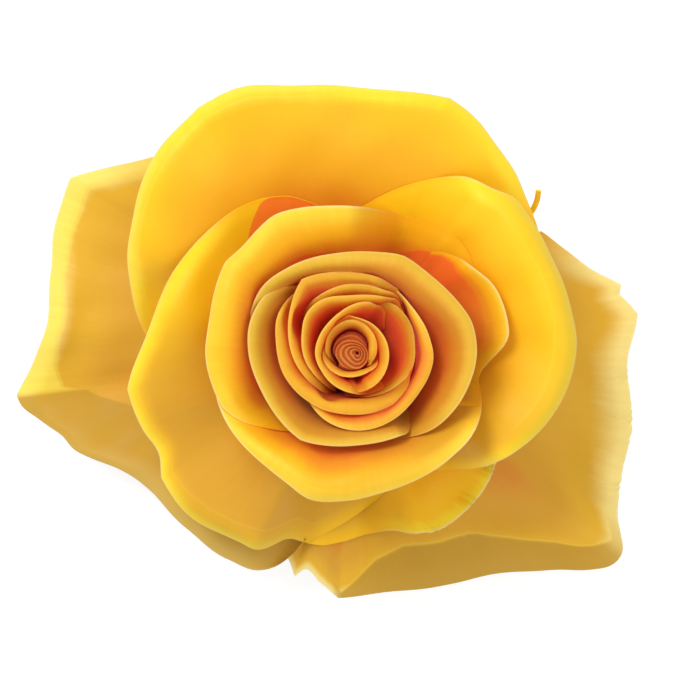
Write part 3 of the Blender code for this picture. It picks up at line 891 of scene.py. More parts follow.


# ---------------------------------------------------------------- the petals of this bloom

# In the tones below, depth and slit paint shade into recesses and gaps, dusk and olive paint shade on faces
# and margins turned from the light, and light paints highlights on margins turned to it.
def heart_petals() -> tuple[PetalShape, ...]:
    """The furled petals of the heart, from the middle outwards."""
    thin = {"slot": Slot.HEART, "finish": "heart", "sheet": 0.28}
    return (
        PetalShape("petal_scroll_inner", 1, 2.4,
            ((-55, 3.3, 43.5), (-25, 3.6, 45.6), (0, 4.1, 46.6), (45, 5.0, 47), (90, 5.8, 47),
             (135, 5.2, 47), (165, 4.7, 46.6), (190, 4.3, 45.6), (215, 4.0, 44)), 84, 12,
            ((-30, 66, 0.6, 5, 0), (0, 60, 0.8, -20, 0.3), (60, 46, 0.7, 0, 0.1), (120, 40, 0.6, 10, 0),
             (180, 42, 0.5, 20, 0)),
            rests=(Rest(-15, -45, "petal_scroll_outer"), Rest(170, 200, "petal_scroll_outer")), **thin),
        PetalShape("petal_scroll_outer", 1.2, 2.6,
            ((150, 4.6, 43.5), (170, 4.9, 45.8), (185, 5.0, 46.8), (225, 4.4, 47.2), (270, 3.9, 46.8),
             (310, 4.1, 46.2), (335, 4.7, 45.6), (355, 5.1, 45), (372, 5.3, 44.4)), 84, 12,
            ((250, 50, 0.7, 5, 0.1),),
            rests=(Rest(325, 360, "petal_heart_right"),), grip=1.0, **thin),
        PetalShape("petal_heart_right", 2, 3.2,
            ((-98, 6.1, 45), (-78, 6.5, 46.8), (-45, 6.5, 48.2), (-15, 6.3, 48.6), (15, 6.2, 48.6),
             (45, 6.1, 48.6), (72, 6.2, 48.4), (95, 6.4, 48), (118, 6.4, 47.4)), 82, 13,
            ((-90, 26, 0.8, 0, 0), (-45, 36, 0.8, -10, 0.1), (0, 58, 0.7, 0, 0.1),
             (60, 60, 0.5, 20, 0)),
            rests=(Rest(-62, -90, "petal_heart_left"), Rest(82, 108, "petal_heart_left")), grip=1.1,
            **thin),
        PetalShape("petal_heart_left", 2.2, 3.4,
            ((38, 7.6, 42), (47, 8.6, 44), (56, 9.3, 46), (66, 9.4, 47.8), (78, 9.0, 48.8),
             (90, 8.3, 49), (105, 7.4, 49.3), (120, 6.8, 49.4), (150, 6.3, 49.3), (180, 6.2, 49.2),
             (210, 5.9, 49), (240, 6.1, 48.8), (265, 6.5, 48), (282, 6.9, 47), (300, 7.4, 46),
             (316, 8.0, 45)), 82, 13,
            ((60, 54, 0.7, 0, 0.1), (150, 58, 0.7, 0, 0.1), (220, 48, 0.8, -5, 0.1),
             (270, 26, 0.8, 0, 0)),
            rests=(Rest(72, 48, "petal_bowl_right"), Rest(268, 300, "petal_bowl_right")), grip=1.1,
            tones=(Tone(38, 6.0), Tone(52, 4.0), Tone(66, 2.0), Tone(88)), **thin),
        PetalShape("petal_bowl_right", 3, 3.8,
            ((-100, 8.4, 44), (-85, 8.0, 44.5), (-65, 8.0, 45), (-35, 9.4, 45.4), (-15, 10.5, 45.6),
             (8, 10.8, 45.8), (28, 11.2, 45.8), (50, 11.0, 45.8), (63, 10.6, 45.4), (78, 10.0, 44.5)),
             80, 15,
            ((-60, 28, 0.5, 18, 0), (0, 30, 0.5, 16, 0)),
            grip=1.0, tones=(Tone(0, 1.5),), rests=(Rest(-55, -85, "petal_cup_left"),
            Rest(50, 72, "petal_bowl_left")), **thin),
        PetalShape("petal_bowl_left", 3.1, 4.1,
            ((30, 12.3, 46), (48, 11.9, 47.4), (62, 11.0, 48.4), (92, 9.9, 49), (121, 10.5, 49.4),
             (135, 10.4, 49.5), (159, 9.1, 49.4), (190, 7.9, 49), (208, 7.3, 48), (224, 7.0, 46),
             (238, 7.0, 43), (246, 7.0, 41)), 80, 15,
            ((120, 54, 0.8, -5, 0.1), (200, 58, 0.6, 5, 0)),
            rests=(Rest(64, 40, "petal_cup_right"),), **thin),
        PetalShape("petal_bowl_top", 3.2, 4.4,
            ((30, 13.2, 46), (48, 12.7, 47.4), (62, 12.1, 48.2), (75, 12.0, 48.6), (95, 11.8, 48.8),
             (112, 11.5, 48.6), (124, 11.3, 47.4), (136, 11.0, 45), (146, 10.8, 42.5)), 80, 15,
            ((90, 52, 0.8, -5, 0.1),),
            rests=(Rest(66, 42, "petal_cup_top"),), **thin),
        PetalShape("petal_cup_top", 3.3, 4.8,
            ((28, 13.4, 44), (42, 13.5, 46.5), (55, 13.6, 48.6), (66, 13.7, 49.6), (75, 13.7, 50),
             (90, 13.8, 50.3), (105, 14.3, 50.4), (124, 15.2, 50.5), (144, 12.9, 50.3), (160, 11.5, 50),
             (176, 10.4, 49.8), (196, 9.3, 49.2), (214, 8.6, 47.6), (230, 8.2, 45), (242, 8.1, 42)), 78,
             16,
            ((60, 48, 1.0, -10, 0.2), (124, 46, 1.0, -15, 0.3), (176, 52, 0.8, -5, 0.1)),
            corners=(124,), tones=(Tone(40, 0.7), Tone(100, 0.8), Tone(130), Tone(200, 0.9)),
            rests=(Rest(72, 44, "petal_cup_right"),), **thin),
        PetalShape("petal_cup_left", 3.4, 5.0,
            ((124, 14.0, 44), (134, 14.2, 46.6), (142, 14.3, 48.4), (150, 14.2, 49.6),
             (173, 12.9, 50.2), (195, 12.1, 50.2), (218, 11.2, 50), (241, 10.6, 49.6),
             (263, 10.2, 49.2), (283, 10.4, 48.8), (302, 10.8, 48.4), (320, 11.3, 48),
             (335, 11.8, 47.4), (350, 12.3, 46.5), (362, 12.6, 45.5)), 78, 16,
            ((140, 52, 0.9, 0, 0.1), (200, 46, 1.1, -15, 0.3), (270, 36, 1.3, -25, 0.4),
             (330, 44, 0.9, -5, 0)),
            tones=(Tone(140), Tone(190, 0.8), Tone(230, 0.45), Tone(300, 0.4), Tone(350, 0.6)),
            rests=(Rest(318, 346, "petal_cup_right"),), **thin),
        PetalShape("petal_cup_right", 3.5, 5.3,
            ((-150, 10.3, 44), (-138, 10.5, 46.4), (-126, 11.2, 48), (-113, 12.0, 48.8),
             (-99, 12.6, 49.2), (-80, 13.0, 49.6), (-65, 13.1, 50), (-48, 13.0, 50.2),
             (-29, 13.1, 50.6), (-15, 13.5, 51), (-5, 13.7, 51), (15, 13.3, 51), (33, 12.9, 50.2),
             (48, 12.9, 48.8), (62, 13.0, 46.5), (75, 13.1, 44)), 78, 16,
            ((-100, 42, 1.1, -15, 0), (-50, 46, 1.0, -35, 0.5), (0, 54, 1.0, -40, 0.4),
             (40, 58, 0.6, 0, 0)),
            slot=Slot.HEART, finish="cup", sheet=0.34),
    )


def ring_petals() -> tuple[PetalShape, ...]:
    """The two rings round the heart."""
    return (
        PetalShape("petal_ring_lower", 4.0, 6.0,
            ((108, 13.6, 45.5), (118, 14.0, 46.5), (128, 15.2, 48), (136, 16.6, 49.6),
             (144, 17.6, 50.6), (155, 18.0, 51.2), (164, 18.0, 51.4), (178, 17.5, 51.4),
             (202, 16.5, 51.2), (231, 16.7, 51), (239, 16.9, 51), (257, 15.9, 50.6), (275, 15.4, 50.4),
             (292, 15.7, 50.2), (300, 16.0, 50), (306, 16.2, 49.4), (309.5, 15.4, 48),
             (312.5, 14.2, 45.6), (315, 13.4, 43)), 76, 17,
            ((150, 50, 1.2, -10, 0), (240, 46, 1.2, -5, 0), (275, 40, 1.4, -10, 0)),
            corners=(239,), tones=(Tone(150), Tone(205, dusk=0.2), Tone(228, 1.4, dusk=0.6),
            Tone(300, 1.4, dusk=0.7)), rests=(Rest(154, 126, "petal_ring_upper"),
            Rest(299, 311, "petal_ring_upper"))),
        PetalShape("petal_ring_upper", 4.4, 6.3,
            ((-80, 14.2, 43), (-68, 15.2, 45.4), (-56, 16.8, 48), (-44, 18.5, 49.4), (-30, 19.6, 50.2),
             (-15, 20.4, 50.8), (4, 21.1, 51.2), (14, 20.9, 51.4), (25, 20.0, 51.6), (40, 18.9, 51.8),
             (62, 18.6, 52), (79, 17.6, 52), (97, 17.1, 52), (112, 17.5, 51.9), (126, 18.1, 51.8),
             (145, 18.9, 51.2), (158, 18.4, 49.8), (170, 17.2, 47.5), (182, 16.4, 45)), 76, 17,
            ((-50, 40, 1.2, 10, 0), (0, 42, 1.8, -25, 0.3), (62, 44, 2.0, -35, 0.8),
             (120, 46, 1.6, -20, 0), (160, 50, 1.0, 0, 0)),
            corners=(62,), rests=(Rest(-30, -64, "petal_collar_lower"),
            Rest(150, 172, "petal_collar_upper"))),
        PetalShape("petal_collar_upper", 5.0, 6.8,
            ((34, 25.0, 43), (42, 26.2, 44.5), (52, 26.4, 46), (62, 25.8, 47.6), (72, 25.0, 49.2),
             (85, 24.9, 50.6), (99, 25.3, 51.2), (110, 26.2, 51.5), (119, 26.8, 51.7), (128, 26.3, 52),
             (136, 25.9, 52), (144, 26.3, 52), (158, 25.3, 52), (170, 24.7, 51.8), (180, 24.7, 51.4),
             (192, 24.3, 50.8), (203, 23.6, 50), (213, 22.4, 49), (223, 20.6, 47.6), (233, 18.4, 46),
             (242, 16.6, 44.4)), 70, 17,
            ((60, 26, 1.2, 16, 0), (90, 22, 1.6, 0, 0), (119, 26, 1.8, -26, 0.3),
             (150, 46, 2.0, -45, 1.2), (190, 44, 2.0, -40, 1.0), (215, 40, 1.2, 0, 0)),
            corners=(144,), tones=(Tone(34, 1.4, slit=4.6), Tone(46, 1.4, slit=4.8),
            Tone(56, 1.2, slit=6.0), Tone(63, 1.0, slit=7.8), Tone(76, 0.9, slit=9.0),
            Tone(90, 0.75, slit=9.4), Tone(110, 0.65, slit=9.6), Tone(130, 0.7, slit=9.0),
            Tone(150, slit=8.4), Tone(165, slit=20), Tone(180)), finish="collar",
            rests=(Rest(92, 68, "petal_outer_right"), Rest(198, 222, "petal_collar_lower"))),
        PetalShape("petal_collar_lower", 5.3, 7.0,
            ((172, 22.6, 46), (184, 23.6, 47.6), (196, 24.0, 49), (208, 24.2, 50), (219, 24.0, 50.4),
             (232, 23.9, 50.8), (244, 24.5, 51.2), (255, 25.5, 51.4), (267, 24.8, 51.4),
             (282, 24.0, 51), (300, 23.9, 50.4), (314, 24.2, 49.8), (325, 24.5, 49.2),
             (335, 24.0, 48.4), (344, 22.7, 47.2), (352, 21.0, 45.8), (360, 19.4, 44)), 70, 18,
            ((190, 42, 1.2, 0, 0), (219, 44, 1.6, -25, 0.3), (255, 40, 2.2, -40, 1.6),
             (300, 40, 2.0, -35, 1.0), (330, 38, 1.4, -5, 0)),
            finish="collar", rests=(Rest(200, 180, "petal_outer_left"),
            Rest(326, 346, "petal_outer_right")), tones=(Tone(200), Tone(230, slit=60),
            Tone(244, 0.9, slit=9.8, light=0.3, band=2.4),
            Tone(256, 0.9, slit=9.6, light=0.5, olive=0.2, dusk=0.2, band=2.6),
            Tone(268, 0.9, slit=9.4, light=0.2, dusk=0.2, band=2.2), Tone(296, 0.9, dusk=0.4, slit=9.0),
            Tone(312, dusk=0.7, slit=40), Tone(340, dusk=0.7))),
        PetalShape("petal_collar_right", 4.8, 6.9,
            ((-44, 20.6, 41), (-30, 22.8, 42.6), (-18, 24.6, 43.8), (-6, 26.0, 44.8), (6, 26.8, 45.4),
             (18, 27.0, 45.8), (25.5, 26.7, 45.9), (34.5, 25.4, 46), (43, 24.2, 45.8), (48, 23.2, 45.4),
             (52, 22.0, 44.6)), 70, 17,
            ((-20, 36, 1.0, 20, 0), (10, 40, 0.8, 10, 0), (30, 40, 0.8, 10, 0)),
            tones=(Tone(-44, 1.8, dusk=0.5), Tone(0, 1.8, dusk=0.4), Tone(18, 2.0, dusk=0.3),
            Tone(30, 2.6, dusk=0.1), Tone(38, 3.8), Tone(44, 6.5), Tone(52, 12.0)), finish="collar",
            rests=(Rest(8, -16, "petal_collar_lower"), Rest(36, 48, "petal_collar_upper"))),
    )


def outer_petals() -> tuple[PetalShape, ...]:
    """The four broad outer petals."""
    broad = {"finish": "outer", "sheet": 0.42}
    return (
        PetalShape("petal_outer_right", 6.0, 7.6,
            ((-66, 22.6, 36.5), (-58, 24.0, 38), (-50, 26.2, 39.4), (-43, 28.8, 40.4), (-36, 31.2, 41),
             (-28, 33.2, 41.4), (-18, 35.6, 41.8), (-8, 37.6, 42), (2, 38.3, 42.2), (14, 37.8, 43),
             (22, 37.8, 43.4), (30, 37.8, 44), (37, 38.0, 44.4), (44.5, 38.4, 44.8), (50, 37.0, 45.2),
             (58, 35.6, 45.4), (64, 33.4, 45.4), (70, 31, 45.4), (78, 28, 45.2), (86, 25.2, 44.6),
             (92, 23.6, 43.6)), 62, 24,
            ((-55, 20, 1.6, 0, 0), (-30, 22, 2.6, -40, 0.6), (0, 24, 3.2, -50, 1.2),
             (30, 24, 3.4, -55, 1.6), (48, 22, 3.0, -40, 1.0), (62, 20, 1.4, 0, 0)),
            rests=(Rest(50, 66, "petal_outer_top"), Rest(-34, -52, "petal_outer_lower")),
            tones=(Tone(-60, 1.6, dusk=0.9), Tone(-36, 1.5, dusk=0.8),
            Tone(-24, 1.3, olive=0.25, dusk=0.5, band=4.2), Tone(-8, olive=0.35, dusk=0.2, band=4.5),
            Tone(8, olive=0.35, band=4.5), Tone(44, olive=0.3, band=4.0), Tone(54), Tone(60, 0.8),
            Tone(90, 1.2)), **broad),
        PetalShape("petal_outer_left", 6.2, 7.8,
            ((96, 22.6, 36.5), (102.5, 25.8, 37.6), (107, 27.4, 38.2), (111.5, 28.9, 38.8),
             (116, 29.9, 39.2), (120, 30.6, 39.5), (128, 31.6, 39.9), (137, 32.2, 40.2),
             (144, 32.7, 40.6), (153, 33.2, 40.8), (163, 34.0, 40.4), (176, 35.8, 39.2),
             (189, 38.8, 37), (200, 38.2, 35), (208, 37.6, 32.6), (213, 39.2, 31), (223, 39.6, 30),
             (239, 38.2, 28), (249, 37.4, 26.4), (255, 34.6, 26.6), (262, 31.8, 28.4), (270, 29, 30.4),
             (278, 26.4, 32.4), (286, 24, 34)), 60, 24,
            ((102, 34, 0.8, 14, 0), (112, 50, 1.2, 10, 0.6), (124, 54, 1.4, 5, 0.8),
             (138, 30, 2.0, -30, 1.0), (160, 18, 2.6, -55, 1.6), (189, 14, 2.6, -45, 1.0),
             (208, 10, 2.4, -30, 1), (223, 8, 2.6, -45, 2.0), (245, 8, 2.2, -35, 1.2),
             (262, 8, 1.2, 0, 0)),
            corners=(189, 213), rests=(Rest(152, 126, "petal_outer_top"),
            Rest(242, 260, "petal_outer_lower")), tones=(Tone(97, slit=0.12), Tone(118, slit=0.12),
            Tone(121, slit=0.7), Tone(127, slit=3.4), Tone(135, slit=7.0), Tone(141, slit=60),
            Tone(150), Tone(160), Tone(178, dusk=0.3), Tone(188, 1.2, dusk=0.7, light=0.3, band=2.2),
            Tone(200, 1.6, dusk=0.9, light=0.3, band=2.2),
            Tone(214, 1.6, dusk=0.9, light=0.3, band=2.6),
            Tone(224, 1.6, dusk=0.9, olive=0.3, band=4.0),
            Tone(250, 1.4, olive=0.45, dusk=0.9, band=4.0), Tone(262, 1.8, 0.1, 0.8)), **broad),
        PetalShape("petal_outer_lower", 6.4, 7.9,
            ((250, 31, 30), (254, 33.6, 30), (260, 34.2, 29), (266, 33.4, 28), (276, 31.8, 25.6),
             (284, 31.8, 24.2), (290, 33.2, 24), (297, 34.2, 24.2), (304, 33.8, 24.6),
             (311, 33.2, 25.6), (318, 32.2, 27), (326, 30.6, 28), (335, 28.6, 29), (345, 26, 30)), 44,
             16,
            ((250, 10, 1.6, -10, 0), (300, 8, 1.2, -15, 0)),
            rests=(Rest(292, 272, "petal_guard_right"),), ripples=(Ripple(288, 326, 0.6, 2.2, 6.0),),
            tones=(Tone(250, 2.0, dusk=0.8), Tone(276, 1.6, dusk=0.5), Tone(292, 1.3), Tone(318, 1.8)),
            **broad),
        PetalShape("petal_outer_top", 6.6, 8.1,
            ((34, 38.6, 34), (42, 40.2, 37), (47, 41.6, 39), (54, 43.0, 40.6), (62, 45.3, 41.6),
             (69, 46.8, 42.4), (80, 45.5, 43.4), (91, 45.5, 43.6), (101, 46.7, 43.6), (112, 48.9, 43),
             (122, 49.7, 42), (134, 47.6, 41), (143, 46.0, 39.6), (151, 43.6, 37.4), (158, 41.6, 35),
             (165, 39.4, 32), (176, 35.4, 28)), 58, 24,
            ((34, 16, 2.6, -50, 1.0), (69, 18, 2.6, -55, 1.0), (82, 18, 0.9, -44, 1.5),
             (102, 18, 0.8, -46, 2.8), (118, 18, 0.8, -46, 2.9), (124, 16, 1.8, -45, 2.0),
             (145, 18, 3.0, -55, 1.6), (176, 18, 2.6, -50, 1)),
            corners=(69, 122), tones=(Tone(36), Tone(70, light=0.2, dusk=0.15, band=1.5),
            Tone(84, light=0.4, dusk=0.25, band=1.8), Tone(101, light=0.5, dusk=0.25, band=3.0),
            Tone(116, light=0.5, dusk=0.2, band=3.2), Tone(124, light=0.2, dusk=0.15, band=2.6),
            Tone(134, light=0.5, dusk=0.15, band=3.2), Tone(150, light=0.6, dusk=0.1, band=3.0),
            Tone(165, light=0.4, band=2.4)), **broad),
    )


def guard_petals() -> tuple[PetalShape, ...]:
    """The two guard petals that hang lowest."""
    guard = {"slot": Slot.GUARD, "finish": "guard", "sheet": 0.46}
    return (
        PetalShape("petal_guard_left", 7.0, 8.3,
            ((130, 46.5, 22), (138, 50.5, 19), (148, 58.5, 12), (155, 57.4, 10), (165, 55.4, 9),
             (176, 54.2, 9), (182, 57.0, 5), (187, 60.2, 1.5), (189.2, 59.4, 2.2), (192, 56.8, 4),
             (195.3, 53.8, 6.4), (199.3, 52.0, 8.4), (202, 49.4, 10), (205.2, 46.6, 11.6),
             (214.6, 43.0, 14), (227, 42.3, 15), (239, 42.2, 15.5), (247, 40.6, 16), (250.5, 38.4, 16),
             (253.5, 35.0, 17), (256, 31.5, 18)), 24, 12,
            ((130, -2, 2.0, -30, 2.4), (148, 2, 0.9, -32, 3.8), (165, 4, 0.8, -36, 4.0),
             (177, 4, 0.7, -40, 3.4), (183, 2, 0.8, -34, 4.6), (187, -2, 1.2, -28, 3.6),
             (191, -3, 2.0, -30, 2.0), (197, -4, 3.0, -34, 1.0), (225, -4, 4.0, -40, 1),
             (250, -4, 3.0, -40, 1)),
            corners=(148, 187), tones=(Tone(140, light=0.5, band=4.0), Tone(152, light=0.9, band=4.4),
            Tone(170, light=0.9, band=4.0), Tone(177, light=1.0, band=3.6),
            Tone(183, light=1.0, band=6.0), Tone(186.5, light=1.0, band=9.0),
            Tone(187.6, olive=0.9, band=14.0), Tone(194, dusk=0.2, olive=0.9, band=17.0),
            Tone(215, dusk=0.5, olive=0.7, band=16.0), Tone(262, olive=0.7, dusk=0.5, band=14.0)),
            **guard),
        PetalShape("petal_guard_right", 7.2, 8.4,
            ((-118, 33.0, 18), (-111, 36.4, 16.4), (-106.6, 38.2, 15), (-104.4, 40.4, 14),
             (-102.6, 38.9, 14), (-98, 40.6, 12.4), (-93.3, 43.2, 9), (-79, 42.6, 10), (-66, 44.6, 10),
             (-56, 46.8, 8.5), (-46, 53.6, 4.5), (-42, 57.3, 2.8), (-39.6, 59.4, 2), (-37.6, 60.0, 1.6),
             (-35.6, 59.4, 2), (-34, 57.8, 3), (-32.2, 56.0, 4.4), (-28, 53.6, 8), (-15, 51.0, 11),
             (-1, 48.6, 13), (8, 50.8, 12), (12.6, 48.2, 13.6), (14.4, 48.9, 14), (19, 45.0, 16),
             (26, 41.6, 19), (33, 39.4, 21)), 24, 12,
            ((-108, -4, 2.0, -30, 1), (-93, -2, 0.8, -24, 5.5), (-75, 2, 0.7, -26, 9.0),
             (-55, 3, 0.7, -28, 9.6), (-44, 2, 0.7, -28, 8.4), (-37.5, -2, 1.2, -24, 6.4),
             (-28, -4, 4.0, -35, 2.0), (0, -4, 4.0, -30, 2), (20, -4, 4.0, -35, 1)),
            corners=(-104.4, -93.3, 8, 12.6, 14.4), tones=(Tone(-118, 3.0, dusk=0.4),
            Tone(-95, 3.0, dusk=0.3), Tone(-92.5, 2.0, olive=0.9, band=1.5),
            Tone(-84, olive=0.95, band=6.5), Tone(-75, olive=0.95, band=9.2),
            Tone(-55, olive=0.95, band=9.8), Tone(-43, olive=0.95, band=8.6),
            Tone(-39.5, olive=0.95, band=6.6), Tone(-37.4, olive=0.85, band=5.0),
            Tone(-35.5, olive=0.4, band=3.0), Tone(-31, 0.8, dusk=0.1), Tone(-10, 0.7), Tone(0, 0.8),
            Tone(20, dusk=0.4)), ripples=(Ripple(-34, 0, 0.26, 1.9, 9.0),), **guard),
    )


def petal_table() -> tuple[PetalShape, ...]:
    """The petals from the heart outwards."""
    return heart_petals() + ring_petals() + outer_petals() + guard_petals()


# ---------------------------------------------------------------- node helpers and finishes

Colour = tuple[float, float, float, float]
Value = float | bpy.types.NodeSocket
Shade = tuple | bpy.types.NodeSocket


class Wires:
    """Adds nodes to one tree and joins them."""

    def __init__(self, tree: bpy.types.NodeTree) -> None:
        """Work on a tree."""
        self.tree = tree

    def node(self, kind: str, inputs: dict | None = None, **settings) -> bpy.types.Node:
        """Add a node and fill its inputs.

        Args:
            kind: The node's type name.
            inputs: Values or output sockets, by input name or index.
            **settings: The node's own properties.

        Returns:
            The node.
        """
        node = self.tree.nodes.new(kind)
        for key, value in settings.items():
            setattr(node, key, value)
        for key, value in (inputs or {}).items():
            if isinstance(value, bpy.types.NodeSocket):
                self.join(value, node.inputs[key])
            else:
                node.inputs[key].default_value = value
        return node

    def join(self, output: bpy.types.NodeSocket, socket: bpy.types.NodeSocket) -> None:
        """Join an output to an input."""
        self.tree.links.new(output, socket)

    def step(self, kind: str, inputs: dict | None = None, **settings) -> bpy.types.NodeSocket:
        """Add a node of which only the first output is wanted, and return that output."""
        return self.node(kind, inputs, **settings).outputs[0]

    def read(self, name: str) -> bpy.types.NodeSocket:
        """A piece's own attribute."""
        return self.node("ShaderNodeAttribute", attribute_name=name).outputs["Fac"]

    def spot(self) -> bpy.types.NodeSocket:
        """Place on the piece."""
        return self.node("ShaderNodeTexCoord").outputs["Object"]

    def noise(self, place: bpy.types.NodeSocket, scale: Value, detail: float,
              **more) -> bpy.types.NodeSocket:
        """Soft noise at a place."""
        node = self.node("ShaderNodeTexNoise", {"Vector": place, "Scale": scale, "Detail": detail,
                                                **more})
        return node.outputs["Fac"]

    def ramp(self, value: Value, low: Value, high: Value, to_low: float = 0.0,
             to_high: float = 1.0) -> bpy.types.NodeSocket:
        """Soft ramp of a value between two limits."""
        return self.step("ShaderNodeMapRange", {0: value, 1: low, 2: high, 3: to_low, 4: to_high},
                         interpolation_type="SMOOTHSTEP")

    def mix(self, share: Value, first: Shade, second: Shade) -> bpy.types.NodeSocket:
        """Mix two colours by a share."""
        return self.node("ShaderNodeMix", {0: share, 6: first, 7: second}, data_type="RGBA").outputs[2]

    def calc(self, operation: str, *values: Value) -> bpy.types.NodeSocket:
        """One step of arithmetic."""
        return self.step("ShaderNodeMath", dict(enumerate(values)), operation=operation)

    def times(self, first: Value, second: Value) -> bpy.types.NodeSocket:
        """Product of two values."""
        return self.calc("MULTIPLY", first, second)

    def plus(self, first: Value, second: Value) -> bpy.types.NodeSocket:
        """Sum of two values."""
        return self.calc("ADD", first, second)

    def less(self, first: Value, second: Value) -> bpy.types.NodeSocket:
        """Difference of two values."""
        return self.calc("SUBTRACT", first, second)

    def seen(self) -> bpy.types.NodeSocket:
        """1 where the camera sees a surface straight, in a mirror or through glass."""
        path = self.node("ShaderNodeLightPath").outputs
        seen = self.calc("MAXIMUM", path["Is Camera Ray"], path["Is Glossy Ray"])
        return self.calc("MAXIMUM", seen, path["Is Transmission Ray"])


def colour(red: float, green: float, blue: float) -> Colour:
    """Linear colour from the values of a colour chart.

    Args:
        red: Red, 0 to 255.
        green: Green.
        blue: Blue.

    Returns:
        The colour, with full cover.
    """
    def linear(c: float) -> float:
        """One channel, made linear."""
        c /= 255.0
        return c / 12.92 if c <= 0.04045 else ((c + 0.055) / 1.055) ** 2.4
    return (linear(red), linear(green), linear(blue), 1.0)


def add_sockets(tree: bpy.types.NodeTree, inputs: dict, outputs: tuple[str, ...]) -> tuple:
    """Give a tree its sockets, its input node and its output node.

    Args:
        tree: The tree.
        inputs: Each input's first value by name, or its socket type where it has none.
        outputs: Names of the outputs.

    Returns:
        The tree's wires, the outputs of its input node and the inputs of its output node.
    """
    kinds = {tuple: "NodeSocketColor", float: "NodeSocketFloat", int: "NodeSocketInt"}
    for label, value in inputs.items():
        kind = value if isinstance(value, str) else kinds[type(value)]
        socket = tree.interface.new_socket(label, in_out="INPUT", socket_type=kind)
        if not isinstance(value, str):
            socket.default_value = value
    for label in outputs:
        kind = {"Color": "NodeSocketColor", "Geometry": "NodeSocketGeometry"}.get(label,
                                                                                  "NodeSocketFloat")
        tree.interface.new_socket(label, in_out="OUTPUT", socket_type=kind)
    given, out = tree.nodes.new("NodeGroupInput"), tree.nodes.new("NodeGroupOutput")
    return Wires(tree), given.outputs, out.inputs


